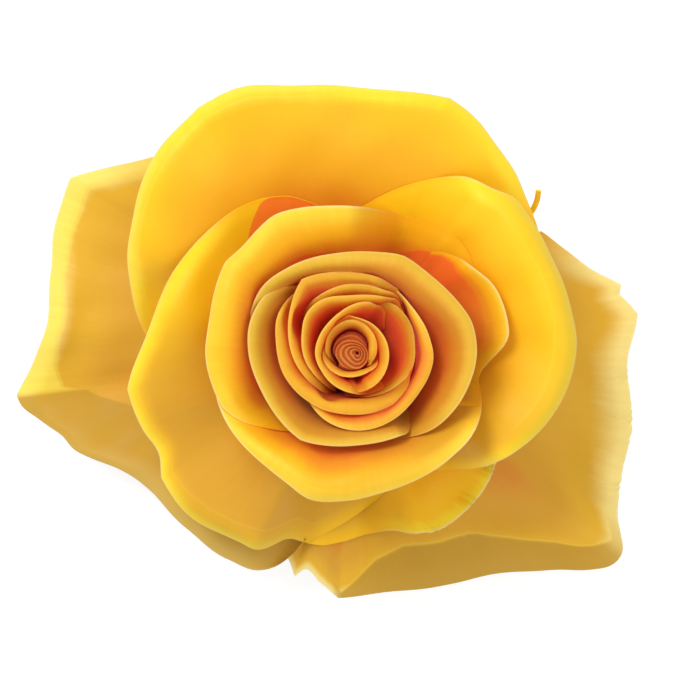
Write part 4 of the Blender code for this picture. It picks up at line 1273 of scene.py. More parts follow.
class Groups:
    """The shader groups that several finishes share."""

    def __init__(self) -> None:
        """Build each group once."""
        self.veins = self._veins()
        self.petal = self._petal()
        self.leaf = self._leaf()

    @staticmethod
    def _start(name: str, inputs: dict, outputs: tuple[str, ...]) -> tuple:
        """New group with its sockets: its wires, its inputs' sockets and its outputs' sockets."""
        return add_sockets(bpy.data.node_groups.new(name, "ShaderNodeTree"), inputs, outputs)

    def _veins(self) -> bpy.types.NodeTree:
        """Fine streaks that run from foot to rim, and a soft mottle."""
        net, given, out = self._start("Petal veins", {"Across": 60.0, "Along": 5.0, "Mottle size": 70.0},
                                      ("Streak", "Mottle", "Grain"))
        across, reach = net.read("across"), net.read("reach")
        wide = net.times(across, given["Across"])
        long = net.times(reach, net.times(given["Along"], 0.01))
        place = net.step("ShaderNodeCombineXYZ", {0: wide, 1: long, 2: net.read("back")})
        spot = net.spot()
        net.join(net.noise(place, 1.0, 3.0, Roughness=0.6, Distortion=0.4), out["Streak"])
        net.join(net.noise(spot, given["Mottle size"], 4.0, Roughness=0.55), out["Mottle"])
        net.join(net.noise(spot, 2600.0, 2.0), out["Grain"])
        return net.tree

    def _petal(self) -> bpy.types.NodeTree:
        """A petal's colour inwards from its rim, painted shade and highlight included, its roughness and
        the height of its relief.
        """
        net, given, out = self._start(
            "Petal skin",
            {"Edge": (1, 1, 1, 1), "Pale": (1, 1, 0, 1), "Body": (1, 1, 0, 1), "Deep": (1, 0.5, 0, 1),
             "Recess": (1, 0, 0, 1), "Back": (1, 1, 0, 1), "Dusk": (0.6, 0.4, 0, 1),
             "Olive": (0.5, 0.4, 0, 1), "Light": (1, 0.9, 0.1, 1), "Fold softness": -1.5,
             "Edge width": 0.7, "Pale width": 4.0, "Body width": 10.0, "Deep width": 20.0,
             "Vein count": 60.0, "Vein depth": 0.5},
            ("Color", "Roughness", "Height"))
        veins = net.node("ShaderNodeGroup", node_tree=self.veins)
        net.join(given["Vein count"], veins.inputs["Across"])
        streak, mottle, grain = (veins.outputs[k] for k in ("Streak", "Mottle", "Grain"))
        rim, back, shown = net.read("rim"), net.read("back"), net.read("shown")
        stray = net.times(net.less(mottle, 0.5), 0.7)
        drawn = net.times(net.less(streak, 0.5), 0.25)
        far = net.times(rim, net.plus(1.0, net.plus(stray, drawn)))
        # The depth tone brings the deeper colours sooner where a face lies in shade: painted shade.
        far = net.times(far, net.read("depth"))
        hidden = net.less(1.0, shown)
        pale = net.mix(hidden, given["Pale"], given["Body"])
        line = net.mix(hidden, given["Edge"], given["Body"])
        rimmed = net.mix(net.ramp(rim, 0.0, given["Edge width"]), line, pale)
        band = net.ramp(far, net.times(given["Pale width"], 0.25), given["Pale width"])
        face = net.mix(band, rimmed, given["Body"])
        # Deep, then recess inwards: partly the rose's orange base, partly painted shade in the recesses.
        face = net.mix(net.ramp(far, given["Pale width"], given["Body width"]), face, given["Deep"])
        face = net.mix(net.ramp(far, given["Body width"], given["Deep width"]), face, given["Recess"])
        # Painted shadow along a gap: a set distance in from the rim the face turns abruptly to its deepest
        # colour.
        face = net.mix(net.ramp(net.times(rim, net.read("slit")), 0.97, 1.07), face, given["Recess"])
        face = net.mix(back, face, net.mix(band, rimmed, given["Back"]))
        # Painted shade: a face turned from the light is dulled towards a darker colour away from its rim.
        shaded_face = net.times(net.read("dusk"), net.ramp(rim, 0.0, given["Pale width"]))
        face = net.mix(shaded_face, face, given["Dusk"])
        off = net.less(net.calc("MULTIPLY_ADD", drawn, 1.5, rim), net.read("band"))
        margin = net.ramp(off, given["Fold softness"], 0.35, 1.0, 0.0)
        # Painted shade on a turned margin that faces away from the light.
        olive, light = net.read("olive"), net.read("light")
        face = net.mix(net.times(margin, olive), face, given["Olive"])
        # Painted highlight on a turned margin that faces the light.
        lit = net.times(margin, net.ramp(rim, 0.0, 1.0, 0.5, 0.85))
        face = net.mix(net.times(lit, light), face, given["Light"])
        # Painted highlight: a light line along the crease of a turned margin.
        crease = net.ramp(net.calc("ABSOLUTE", off), 0.0, 0.4, 0.3, 0.0)
        crease = net.times(crease, net.calc("MAXIMUM", olive, light))
        crease = net.times(crease, net.ramp(net.read("band"), 10.0, 13.0, 1.0, 0.0))
        face = net.mix(crease, face, given["Light"])
        net.join(net.mix(net.ramp(streak, 0.3, 0.7, 0.0, 0.1), face, given["Deep"]), out["Color"])
        net.join(net.ramp(mottle, 0.3, 0.7, 0.46, 0.6), out["Roughness"])
        net.join(net.plus(net.times(streak, given["Vein depth"]), net.times(grain, 0.16)), out["Height"])
        return net.tree

    def _leaf(self) -> bpy.types.NodeTree:
        """Green skin: two greens by a soft noise, a paler inside and margin, flecks and a fine grain."""
        net, given, out = self._start(
            "Green skin",
            {"Green": (0, 1, 0, 1), "Pale green": (0, 1, 0, 1), "Flush": (1, 0, 0, 1),
             "Inside": (1, 1, 1, 1), "Margin": (1, 1, 1, 1), "Size": 160.0},
            ("Color", "Roughness", "Height"))
        spot = net.spot()
        soft = net.noise(spot, given["Size"], 5.0)
        cells = net.node("ShaderNodeTexVoronoi", {"Vector": spot, "Scale": 1500.0}).outputs["Distance"]
        fleck = net.noise(spot, 900.0, 3.0)
        across = net.calc("ABSOLUTE", net.less(net.read("across"), 0.5))
        rib = net.ramp(across, 0.0, 0.05, 1.0, 0.0)
        side = net.plus(net.times(across, 26.0), net.times(net.read("reach"), -1.1))
        vein = net.calc("POWER", net.calc("ABSOLUTE", net.calc("SINE", side)), 6.0)
        inside = net.less(1.0, net.read("back"))
        skin = net.mix(net.ramp(soft, 0.35, 0.65), given["Green"], given["Pale green"])
        skin = net.mix(net.ramp(soft, 0.6, 0.78, 0.0, 0.45), skin, given["Flush"])
        skin = net.mix(net.ramp(fleck, 0.62, 0.7, 0.0, 0.35), skin, given["Pale green"])
        inner = net.mix(net.ramp(soft, 0.35, 0.7, 0.0, 0.4), given["Inside"], given["Pale green"])
        skin = net.mix(inside, skin, inner)
        skin = net.mix(net.times(vein, 0.22), skin, given["Margin"])
        skin = net.mix(net.times(rib, 0.5), skin, given["Pale green"])
        skin = net.mix(net.ramp(net.read("edge"), 0.1, 0.55, 0.85, 0.0), skin, given["Margin"])
        net.join(skin, out["Color"])
        net.join(net.ramp(soft, 0.3, 0.7, 0.48, 0.66), out["Roughness"])
        relief = net.plus(net.times(cells, 0.5), net.times(vein, -0.3))
        net.join(net.plus(relief, fleck), out["Height"])
        return net.tree


def skin_material(name: str, group: bpy.types.NodeTree, values: dict, bump: dict, gloss: dict,
                  glow: float) -> bpy.types.Material:
    """Make a material whose colour, roughness and relief come from a shader group.

    Args:
        name: The material's name.
        group: The group.
        values: Values of the group's inputs, by name.
        bump: Strength and distance of the relief.
        gloss: Values of the shader's own inputs, by name.
        glow: Share of light that passes through.

    Returns:
        The material.
    """
    material = bpy.data.materials.new(name)
    material.use_nodes = True
    net, nodes = Wires(material.node_tree), material.node_tree.nodes
    shader = nodes["Principled BSDF"]
    skin = net.node("ShaderNodeGroup", values, node_tree=group).outputs
    relief = net.node("ShaderNodeBump", {"Height": skin["Height"], **bump}).outputs["Normal"]
    for output, label in ((skin["Color"], "Base Color"), (skin["Roughness"], "Roughness"),
                          (relief, "Normal")):
        net.join(output, shader.inputs[label])
    for label, value in gloss.items():
        shader.inputs[label].default_value = value
    if glow > 0.0:
        through = net.step("ShaderNodeBsdfTranslucent", {"Color": skin["Color"]})
        both = net.step("ShaderNodeMixShader", {0: glow, 1: shader.outputs[0], 2: through})
        net.join(both, nodes["Material Output"].inputs["Surface"])
    return material


@dataclass(frozen=True)
class PetalFinish:
    """Colours of one kind of petal, inwards from its rim, with its painted shade and painted highlight.

    Attributes:
        name: The material's name.
        edge: Colour of the very edge.
        pale: Colour of the band inside it.
        body: Colour of the open face.
        deep: Colour lower down, partly the rose's deeper orange and partly painted shade.
        recess: Colour deep inside, partly the rose's orange-red base and partly painted shade of the
            recesses.
        back: Colour of the outer face.
        widths: How far in from the rim each of the first four reaches, in mm.
        veins: Streaks across the petal.
        glow: Share of light that passes through.
        fold: How softly a turned margin's colour begins, in mm.
        dusk: Painted shade colour, towards which a face turned from the light goes.
        olive: Painted shade colour of a margin that is turned from the light.
        light: Painted highlight colour of a margin that is turned to the light, and of creases.
        relief: Height of the fine relief, in metres.
    """

    name: str
    edge: Colour
    pale: Colour
    body: Colour
    deep: Colour
    recess: Colour
    back: Colour
    widths: tuple[float, float, float, float]
    veins: float = 60.0
    glow: float = 0.2
    fold: float = 2.6
    # Painted shade of faces and margins turned from the light, and painted highlight of margins turned to
    # it and of creases.
    dusk: Colour = colour(212, 160, 42)
    olive: Colour = colour(196, 150, 38)
    light: Colour = colour(250, 228, 84)
    relief: float = 0.00022

    def material(self, groups: Groups) -> bpy.types.Material:
        """Make the material.

        Args:
            groups: The shared shader groups.

        Returns:
            The material.
        """
        shades = ("Edge", "Pale", "Body", "Deep", "Recess", "Back", "Dusk", "Olive", "Light")
        values = {label: getattr(self, label.lower()) for label in shades}
        values |= dict(zip(("Edge width", "Pale width", "Body width", "Deep width"), self.widths))
        values |= {"Vein count": self.veins, "Fold softness": -self.fold}
        gloss = {"Specular IOR Level": 0.3, "Sheen Weight": 0.06, "Sheen Roughness": 0.5}
        return skin_material(self.name, groups.petal, values, {"Strength": 0.5, "Distance": self.relief},
                             gloss, self.glow)


@dataclass(frozen=True)
class LeafFinish:
    """A green skin.

    Attributes:
        name: The material's name.
        green: Its main green.
        pale: The lighter green in it.
        flush: The warm tone in it.
        inside: Colour of a sepal's inner face.
        margin: Colour of its margin and fine veins.
        size: Scale of the soft patches.
        relief: Height of the fine relief, in metres.
        glow: Share of light that passes through.
    """

    name: str
    green: Colour
    pale: Colour
    flush: Colour
    inside: Colour
    margin: Colour
    size: float = 160.0
    relief: float = 0.0002
    glow: float = 0.0

    def material(self, groups: Groups) -> bpy.types.Material:
        """Make the material.

        Args:
            groups: The shared shader groups.

        Returns:
            The material.
        """
        values = {"Green": self.green, "Pale green": self.pale, "Flush": self.flush,
                  "Inside": self.inside, "Margin": self.margin, "Size": self.size}
        return skin_material(self.name, groups.leaf, values, {"Strength": 0.4, "Distance": self.relief},
                             {"Specular IOR Level": 0.35}, self.glow)


@dataclass(frozen=True)
class StemFinish:
    """The stem's green skin, and the wood and pith of its cut end.

    Attributes:
        skin: The green skin.
        bark: Colour of the outermost ring of the cut.
        wood: Colour of the wood.
        line: Colour of the thin ring between bark and wood.
        pith: Colour of the middle.
    """

    skin: LeafFinish
    bark: Colour = colour(122, 148, 74)
    wood: Colour = colour(214, 212, 160)
    line: Colour = colour(150, 158, 88)
    pith: Colour = colour(238, 232, 204)

    def material(self, groups: Groups) -> bpy.types.Material:
        """Make the material.

        Args:
            groups: The shared shader groups.

        Returns:
            The material.
        """
        material = self.skin.material(groups)
        net = Wires(material.node_tree)
        base = material.node_tree.nodes["Principled BSDF"].inputs["Base Color"]
        green = base.links[0].from_socket
        stray = net.noise(net.spot(), 1100.0, 3.0)
        at = net.plus(net.read("ring"), net.times(net.less(stray, 0.5), 0.08))
        end = net.mix(net.ramp(at, 0.36, 0.46), self.pith, self.wood)
        end = net.mix(net.ramp(stray, 0.5, 0.75, 0.0, 0.5), end, self.line)
        end = net.mix(net.ramp(at, 0.74, 0.78), end, self.line)
        end = net.mix(net.ramp(at, 0.82, 0.9), end, self.bark)
        net.join(net.mix(net.read("cut"), green, end), base)
        return material


# ---------------------------------------------------------------- the bloom

@dataclass(frozen=True)
class Furl:
    """How the furled middle is wound.

    Attributes:
        steps: Points round it.
        rings: Rings of points over its top.
        wound: Share of the top over which the spiral runs.
        turns: Turns of the spiral.
        radius: Radius of the wound part, in mm.
        shift: How far the spiral's middle stands off the axis, in mm.
        groove: Depth of the groove between two turns, in mm.
        hole: Depth of the hole in its middle, in mm.
        sides: Radius and height under the brim of the rings below the top, in mm.
    """

    steps: int = 144
    rings: int = 84
    wound: float = 0.66
    turns: float = 4.4
    radius: float = 2.66
    shift: tuple[float, float] = (0.95, 0.2)
    groove: float = 0.45
    hole: float = 1.2
    sides: tuple[tuple[float, float], ...] = ((2.3, 2.4), (2.2, 8.0))


@dataclass
class Bloom:
    """The petals, built round the flower's axis.

    Attributes:
        axis: Where the axis stands in the frame, in mm.
        bed: The laid petals.
        materials: Petal materials by the finish's name.
        furl: How the furled middle is wound.
        waves: Height and length of the slow undulation by the finish's name, in mm.
        other_waves: The same for the remaining petals.
    """

    axis: tuple[float, float]
    bed: PetalBed
    materials: dict[str, bpy.types.Material]
    furl: Furl = Furl()
    waves: dict[str, tuple[float, float]] = field(default_factory=lambda: {
        "heart": (0.05, 5.0), "cup": (0.06, 6.0), "ring": (0.08, 9.0), "collar": (0.1, 11.0)})
    other_waves: tuple[float, float] = (0.28, 13.0)

    def columns(self, shape: PetalShape) -> np.ndarray:
        """Where a petal's columns stand, with one at each corner of its rim.

        Args:
            shape: The petal.

        Returns:
            Angles round the axis, in degrees.
        """
        radius = max(station[1] for station in shape.rim)
        step = math.degrees((0.4 if shape.ripples else 0.7) / radius)
        step = min(max(step, 0.4), 2.5)
        count = int(math.ceil((shape.last - shape.first) / step))
        angles = np.linspace(shape.first, shape.last, count + 1)
        for corner in shape.corners:
            angles[np.argmin(np.abs(angles - corner))] = corner
        return angles

    def middle(self, shape: PetalShape) -> np.ndarray:
        """Middle surface of a petal, cut to its outline.

        Args:
            shape: The petal.

        Returns:
            Points, columns by rows by 3, in mm round the axis.
        """
        angles = self.columns(shape)
        laid = self.bed.surface(shape, angles)
        centre = 0.5 * (shape.first + shape.last)
        spread = shape.waist + (1.0 - shape.waist) * smoothstep(0.0, 0.62, ROW_SHARES)
        grid = np.empty((len(angles), ROW_COUNT, 3))
        for row in range(ROW_COUNT):
            at = centre + (angles - centre) * spread[row]
            radius = np.interp(at, angles, laid[:, row, 0])
            height = np.interp(at, angles, laid[:, row, 1])
            grid[:, row] = polar(radius, at, height)
        return grid

    def wavy(self, shape: PetalShape, sheet: SheetMesh) -> None:
        """Give a petal its slow undulation, stronger towards the rim.

        Args:
            shape: The petal.
            sheet: Its sheet, whose grid is changed.
        """
        rng = np.random.default_rng(sum(ord(letter) for letter in shape.name))
        reach = sheet.distances()[0]
        along = travelled(sheet.grid[:, -1])[:, None]
        height, length = self.waves.get(shape.finish, self.other_waves)
        wave = np.zeros_like(reach)
        for _ in range(6):
            turn = rng.uniform(0.0, 2.0 * np.pi, 2)
            pitch = length * rng.uniform(0.7, 1.5)
            run = np.cos(turn[0]) * along + np.sin(turn[0]) * reach
            wave += np.sin(2.0 * np.pi * run / pitch + turn[1])
        share = smoothstep(0.35, 0.8, reach / np.maximum(reach[:, -1:], 1e-6))
        share = share * shape.shown(self.columns(shape))[:, None]
        sheet.grid = sheet.grid + sheet.normals() * (0.4 * height * wave * share)[..., None]

    def rippled(self, shape: PetalShape, sheet: SheetMesh) -> None:
        """Add a petal's ripples to its middle surface.

        Args:
            shape: The petal.
            sheet: Its sheet, whose grid is changed.
        """
        angles = self.columns(shape)
        normal = sheet.normals()
        rim = sheet.distances()[1]
        run = travelled(sheet.grid[:, -1])[:, None] + 0.35 * rim
        for wave in shape.ripples:
            ends = 0.18 * (wave.end - wave.start)
            across = smoothstep(wave.start, wave.start + ends, angles) * (
                1.0 - smoothstep(wave.end - ends, wave.end, angles))
            turn = run / wave.pitch + 0.5 * np.sin(run * 0.9) + 0.6 * np.sin(run * 0.37 + 1.0)
            crest = 0.6 + 0.4 * np.sin(run * 0.61 + 2.0)
            size = wave.height * np.sin(2.0 * np.pi * turn) * crest * across[:, None]
            deep = (1.0 - smoothstep(0.0, wave.depth, rim)) ** 1.5
            sheet.grid = sheet.grid + normal * (size * deep)[..., None]

    def make(self, shape: PetalShape) -> None:
        """Build one petal and put it in its CAD node's place.

        Args:
            shape: The petal.
        """
        angles = self.columns(shape)
        shown = shape.shown(angles)
        sheet = SheetMesh(self.middle(shape), shape.sheet, freed=shown)
        self.wavy(shape, sheet)
        self.rippled(shape, sheet)
        sheet.grid = sheet.grid + np.array([*self.axis, 0.0])
        piece = sheet.build(shape.name.replace("petal_", "rose_petal_"),
                            {"shown": shown, **shape.tone(angles)})
        piece.data.materials.append(self.materials[shape.finish])
        place(piece, shape.slot, shape.name)

    def hollow(self, angles: np.ndarray, height: float) -> np.ndarray:
        """How much room the innermost petals leave round the axis.

        Args:
            angles: Where round the axis, in degrees.
            height: At which height, in mm.

        Returns:
            Radius free of petals at each angle.
        """
        free = np.full_like(angles, 9.0)
        for shape in self.bed.shapes[:5]:
            for turn in TURNS:
                inside = (angles + turn >= shape.first) & (angles + turn <= shape.last)
                if not inside.any():
                    continue
                laid = self.bed.surface(shape, angles[inside] + turn)
                lines = [line[:18] if line[17, 1] < height else line for line in laid]
                at = np.array([np.interp(height, line[:, 1], line[:, 0]) for line in lines])
                free[inside] = np.minimum(free[inside], at - 0.5 * shape.sheet)
        for _ in range(3):
            free = np.minimum(free, (np.roll(free, 1) + free + np.roll(free, -1)) / 3.0)
        return free

    def core(self) -> None:
        """The furled middle: a closed bud whose top is wound in a tight spiral."""
        furl, turns = self.furl, around(self.furl.steps)
        brim, low = self.bed.core_top - 0.5, self.bed.dome_top + 0.1
        free = np.maximum(self.hollow(np.degrees(turns), brim) - 0.12, 2.6)
        share = np.linspace(0.0, 1.0, furl.rings)[1:]
        tight = np.minimum(share / furl.wound, 1.0)
        spread = smoothstep(0.6, 1.0, share)
        oval = 1.0 + 0.09 * np.cos(2.0 * turns + 0.5)
        wide = furl.radius * tight[:, None] * oval * (1.0 - spread[:, None]) + free[None, :] * spread[:,
                                                                                                      None]
        wide = np.maximum.accumulate(np.minimum(wide, free[None, :]), axis=0)
        drift_x, drift_y = ((off - pull * tight) * (1.0 - spread) for off,
                            pull in zip(furl.shift, (0.85, 0.4)))
        stray = (0.16 * np.sin(2.0 * turns + 0.8) + 0.1 * np.sin(3.0 * turns + 2.1))[None, :]
        phase = furl.turns * (share / furl.wound)[:, None] ** 0.9 + stray - turns[None, :] / (2.0 * np.pi)
        ridge = (0.5 + 0.5 * np.cos(2.0 * np.pi * phase)) ** (0.75 + 0.35 * np.sin(turns + 1.0))[None, :]
        hole = 1.0 - smoothstep(0.03, 0.1, share)
        crown = self.bed.core_top - 0.3 + 0.35 * tight ** 2
        height = (crown + (brim - crown) * smoothstep(0.62, 0.8, share))[:,
                                                                         None] + furl.groove * (ridge - 1.0)
        height = height - furl.hole * hole[:, None]
        rings = [np.stack([wide * np.cos(turns)[None, :] + drift_x[:, None],
                           wide * np.sin(turns)[None, :] + drift_y[:, None], height], axis=-1)]
        walls = [(free - 0.3, brim - 0.5), *((radius, brim - down) for radius, down in furl.sides),
                 (1.95, low)]
        for radius, level in walls:
            rings.append(np.stack([radius * np.cos(turns), radius * np.sin(turns),
                                   np.full_like(turns, level)], axis=-1)[None])
        grid = np.concatenate(rings) + np.array([*self.axis, 0.0])
        rows, count = grid.shape[:2]
        tips = np.array([[self.axis[0] + furl.shift[0], self.axis[1] + furl.shift[1],
                          self.bed.core_top - 2.6],
                         [*self.axis, low]])
        points = np.concatenate([grid.reshape(-1, 3), tips])
        # Painted shade: the grooves between the turns, the middle hole and the sides below the brim are
        # given a larger distance from the rim, which turns them to the deeper colours, partly the furled
        # petals' deeper orange.
        sunk_shade = np.concatenate([1.3 * (1.0 - ridge) + 4.0 * hole[:, None] + 0.8 * spread[:, None],
                               np.repeat(np.linspace(3.0, 12.0, rows - len(share))[:, None], count,
                                         axis=1)])
        sunk_shade = np.concatenate([sunk_shade.reshape(-1), [7.0, 12.0]])
        across = np.concatenate([np.tile(turns / (2.0 * np.pi), rows), [0.0, 0.0]])
        ones = np.ones(len(points))
        piece = new_piece("rose_petal_core", points * MM, capped_faces(rows, count),
                          {"rim": sunk_shade, "reach": sunk_shade, "across": across, "shown": ones, "depth": ones})
        piece.data.materials.append(self.materials["core"])
        place(piece, Slot.HEART, "petal_core")


# ---------------------------------------------------------------- path, hip, stem, sepals, hairs

def tree_result(piece: bpy.types.Object, tree: bpy.types.NodeTree, values: dict) -> None:
    """Run a geometry tree on an object and keep its result as a plain mesh.

    Args:
        piece: The object, whose mesh is the tree's input and then its result.
        tree: The geometry tree.
        values: Values of the tree's inputs, by socket name.
    """
    modifier = piece.modifiers.new(tree.name, "NODES")
    modifier.node_group = tree
    for item in tree.interface.items_tree:
        if item.item_type == "SOCKET" and item.in_out == "INPUT" and item.name in values:
            modifier[item.identifier] = values[item.name]
    bpy.context.view_layer.update()
    done = piece.evaluated_get(bpy.context.evaluated_depsgraph_get())
    mesh = bpy.data.meshes.new_from_object(done)
    piece.modifiers.remove(modifier)
    old = piece.data
    piece.data = mesh
    bpy.data.meshes.remove(old)
    mesh.name = piece.name


def geometry_tree(name: str, inputs: dict) -> tuple:
    """New geometry tree: its wires, its inputs' sockets and its outputs' sockets."""
    tree = bpy.data.node_groups.new(name, "GeometryNodeTree")
    return add_sockets(tree, {"Geometry": "NodeSocketGeometry", **inputs}, ("Geometry",))


def finish_tree(net: Wires, geometry: bpy.types.NodeSocket, skin: bpy.types.NodeSocket,
                out: bpy.types.NodeSocket) -> bpy.types.NodeTree:
    """Give a tree's geometry its material and send it out.

    Args:
        net: The tree's wires.
        geometry: The geometry.
        skin: The material.
        out: The tree's output.

    Returns:
        The tree.
    """
    net.join(net.step("GeometryNodeSetMaterial", {"Geometry": geometry, "Material": skin}), out)
    return net.tree


def named_value(net: Wires, name: str) -> bpy.types.NodeSocket:
    """A value that the tree's mesh has at each point."""
    node = net.node("GeometryNodeInputNamedAttribute", {"Name": name}, data_type="FLOAT")
    return node.outputs["Attribute"]


def strip_tree() -> bpy.types.NodeTree:
    """Geometry tree that runs a narrow rounded strip along a path of points."""
    net, given, out = geometry_tree("Narrow strip", {
        "Radius": 0.0005, "Flatness": 0.7, "Spacing": 0.0004, "Sides": 12, "Skin": "NodeSocketMaterial"})
    path = net.step("GeometryNodeMeshToCurve", {"Mesh": given["Geometry"]})
    path = net.step("GeometryNodeSetCurveRadius", {"Curve": path, "Radius": named_value(net, "thick")})
    path = net.step("GeometryNodeSetCurveNormal", {"Curve": path}, mode="Z_UP")
    path = net.step("GeometryNodeResampleCurve", {"Curve": path, "Length": given["Spacing"]},
                    mode="LENGTH")
    ring = net.step("GeometryNodeCurvePrimitiveCircle", {"Resolution": given["Sides"],
                                                         "Radius": given["Radius"]})
    scale = net.step("ShaderNodeCombineXYZ", {0: 1.0, 1: given["Flatness"], 2: 1.0})
    ring = net.step("GeometryNodeTransform", {"Geometry": ring, "Scale": scale})
    tube = net.step("GeometryNodeCurveToMesh", {"Curve": path, "Profile Curve": ring, "Fill Caps": True})
    tube = net.step("GeometryNodeRealizeInstances", {"Geometry": tube})
    tube = net.step("GeometryNodeSetShadeSmooth", {"Geometry": tube})
    return finish_tree(net, tube, given["Skin"], out["Geometry"])


def hair_tree() -> bpy.types.NodeTree:
    """Geometry tree that scatters small gland-tipped hairs over a surface."""
    net, given, out = geometry_tree("Gland hairs", {
        "Density": 1500000.0, "Length": 0.0008, "Width": 0.00007, "Lean": 0.5,
        "Skin": "NodeSocketMaterial"})
    thick = net.times(named_value(net, "hairy"), given["Density"])
    spots = net.node("GeometryNodeDistributePointsOnFaces",
                     {"Mesh": given["Geometry"], "Density": thick, "Seed": 11},
                     distribute_method="RANDOM")
    shaft = net.step("GeometryNodeMeshCone", {"Vertices": 4, "Radius Top": 0.00002,
                                              "Radius Bottom": given["Width"], "Depth": given["Length"]})
    head = net.step("GeometryNodeMeshIcoSphere", {"Radius": net.times(given["Width"], 1.25),
                                                  "Subdivisions": 1})
    lift = net.step("ShaderNodeCombineXYZ", {2: given["Length"]})
    tip = net.step("GeometryNodeTransform", {"Geometry": head, "Translation": lift})
    hair = net.node("GeometryNodeJoinGeometry")
    net.join(tip, hair.inputs[0])
    net.join(shaft, hair.inputs[0])
    back = net.times(given["Lean"], -1.0)
    low = net.step("ShaderNodeCombineXYZ", {0: back, 1: back})
    high = net.step("ShaderNodeCombineXYZ", {0: given["Lean"], 1: given["Lean"]})
    lean = net.step("FunctionNodeRandomValue", {0: low, 1: high, "Seed": 5}, data_type="FLOAT_VECTOR")
    lean = net.step("FunctionNodeEulerToRotation", {0: lean})
    turn = net.step("FunctionNodeRotateRotation", {"Rotation": spots.outputs["Rotation"],
                                                   "Rotate By": lean},
                    rotation_space="LOCAL")
    tall = net.node("FunctionNodeRandomValue", {2: 0.55, 3: 1.2, "Seed": 7}, data_type="FLOAT").outputs[1]
    coat = net.step("GeometryNodeInstanceOnPoints", {
        "Points": spots.outputs["Points"], "Instance": hair.outputs[0], "Rotation": turn, "Scale": tall})
    coat = net.step("GeometryNodeRealizeInstances", {"Geometry": coat})
    return finish_tree(net, coat, given["Skin"], out["Geometry"])


@dataclass
class Petaloid:
    """The narrow strip of petal that curls out between two outer petals.

    Attributes:
        axis: Where the axis stands in the frame, in mm.
        route: Stations (angle in degrees, radius, height in mm) along it.
        radius: Half its width, in mm.
    """

    axis: tuple[float, float]
    route: tuple[tuple[float, float, float], ...] = (
        (37, 10.8, 15.6), (37, 17, 19.8), (37, 26, 24), (37.4, 33, 26.8), (37.8, 37, 28.6),
        (38.4, 39.6, 30),
        (39.6, 41.4, 31.8), (41.2, 42.7, 34.2))
    radius: float = 0.5

    def build(self, skin: bpy.types.Material) -> None:
        """Run the strip along its route and put it in its CAD node's place.

        Args:
            skin: Its material.
        """
        stations = np.array(self.route)
        share = np.linspace(0.0, 1.0, 60)
        at = [hermite(np.linspace(0.0, 1.0, len(stations)), stations[:, k], share) for k in (1, 0, 2)]
        points = polar(*at) + np.array([*self.axis, 0.0])
        thick = 1.0 + 2.6 * smoothstep(0.12, 0.5, share) * (1.0 - smoothstep(0.5, 0.84, share))
        thick *= 1.0 + 0.12 * np.sin(21.0 * share)
        thick *= 1.0 - 0.6 * smoothstep(0.97, 1.0, share)
        piece = new_piece("rose_petaloid", points * MM, [], {"thick": thick},
                          edges=tuple((k, k + 1) for k in range(len(points) - 1)), smooth=False)
        tree_result(piece, strip_tree(), {"Radius": self.radius * MM, "Flatness": 0.4,
                                          "Spacing": 0.4 * MM,
                                          "Sides": 16, "Skin": skin})
        for label, value in (("rim", 4.0), ("reach", 20.0), ("shown", 1.0), ("depth", 1.0),
                             ("back", 0.0)):
            add_layer(piece.data, label, np.full(len(piece.data.vertices), value))
        place(piece, Slot.PETAL, "petaloid")


@dataclass
class TurnedMesh:
    """A closed solid turned about the axis, with its two ends brought to a point.

    Attributes:
        axis: Where the axis stands, in mm.
        profile: Points (radius, height) from its top to its foot, in mm.
        steps: Points round it.
    """

    axis: tuple[float, float]
    profile: np.ndarray
    steps: int = 120

    def build(self, name: str, swell: np.ndarray, layers: dict[str, np.ndarray]) -> bpy.types.Object:
        """Make the solid.

        Args:
            name: The object's name.
            swell: Change of radius by profile point and step, in mm.
            layers: Attributes by name, with a value for each profile point.

        Returns:
            The object, at the origin.
        """
        turns = around(self.steps)
        radius = self.profile[1:-1, :1] + swell[1:-1]
        grid = np.stack([radius * np.cos(turns) + self.axis[0], radius * np.sin(turns) + self.axis[1],
                         np.repeat(self.profile[1:-1, 1:], self.steps, axis=1)], axis=-1)
        ends = np.array([[*self.axis, self.profile[0, 1]], [*self.axis, self.profile[-1, 1]]])
        points = np.concatenate([grid.reshape(-1, 3), ends])
        spread = {label: np.concatenate([np.repeat(values[1:-1], self.steps), [values[0], values[-1]]])
                  for label, values in layers.items()}
        return new_piece(name, points * MM, capped_faces(len(grid), self.steps), spread)


HIP_SIDE = ((9.55, 14.2), (9.78, 13.6), (9.6, 12.95), (8.9, 12.5), (8.0, 12.05), (7.55, 11.3),
            (7.35, 10.2), (6.9, 9.2), (5.9, 8.1), (4.6, 7.2), (3.7, 6.65))
STEM_CUT = ((0.99, 0.4), (0.965, 0.0), (0.93, 0.3), (0.9, 0.0), (0.84, 0.0), (0.78, 0.5), (0.74, 0.6),
            (0.68, 0.2), (0.62, 0.5), (0.55, 0.1), (0.48, 0.4), (0.42, 0.9), (0.36, 1.3), (0.25, 1.6),
            (0.12, 1.8), (0.0, 1.8))
SEPAL_SPINE = ((7.45, 13.9, 18.9, 22.9), (11.7, 12.7, 9.2, 0.32))
SEPAL_LEAFLETS = {0: (-1.0, 1.0), 1: (-1.0, 1.0), 2: (-1.0,)}


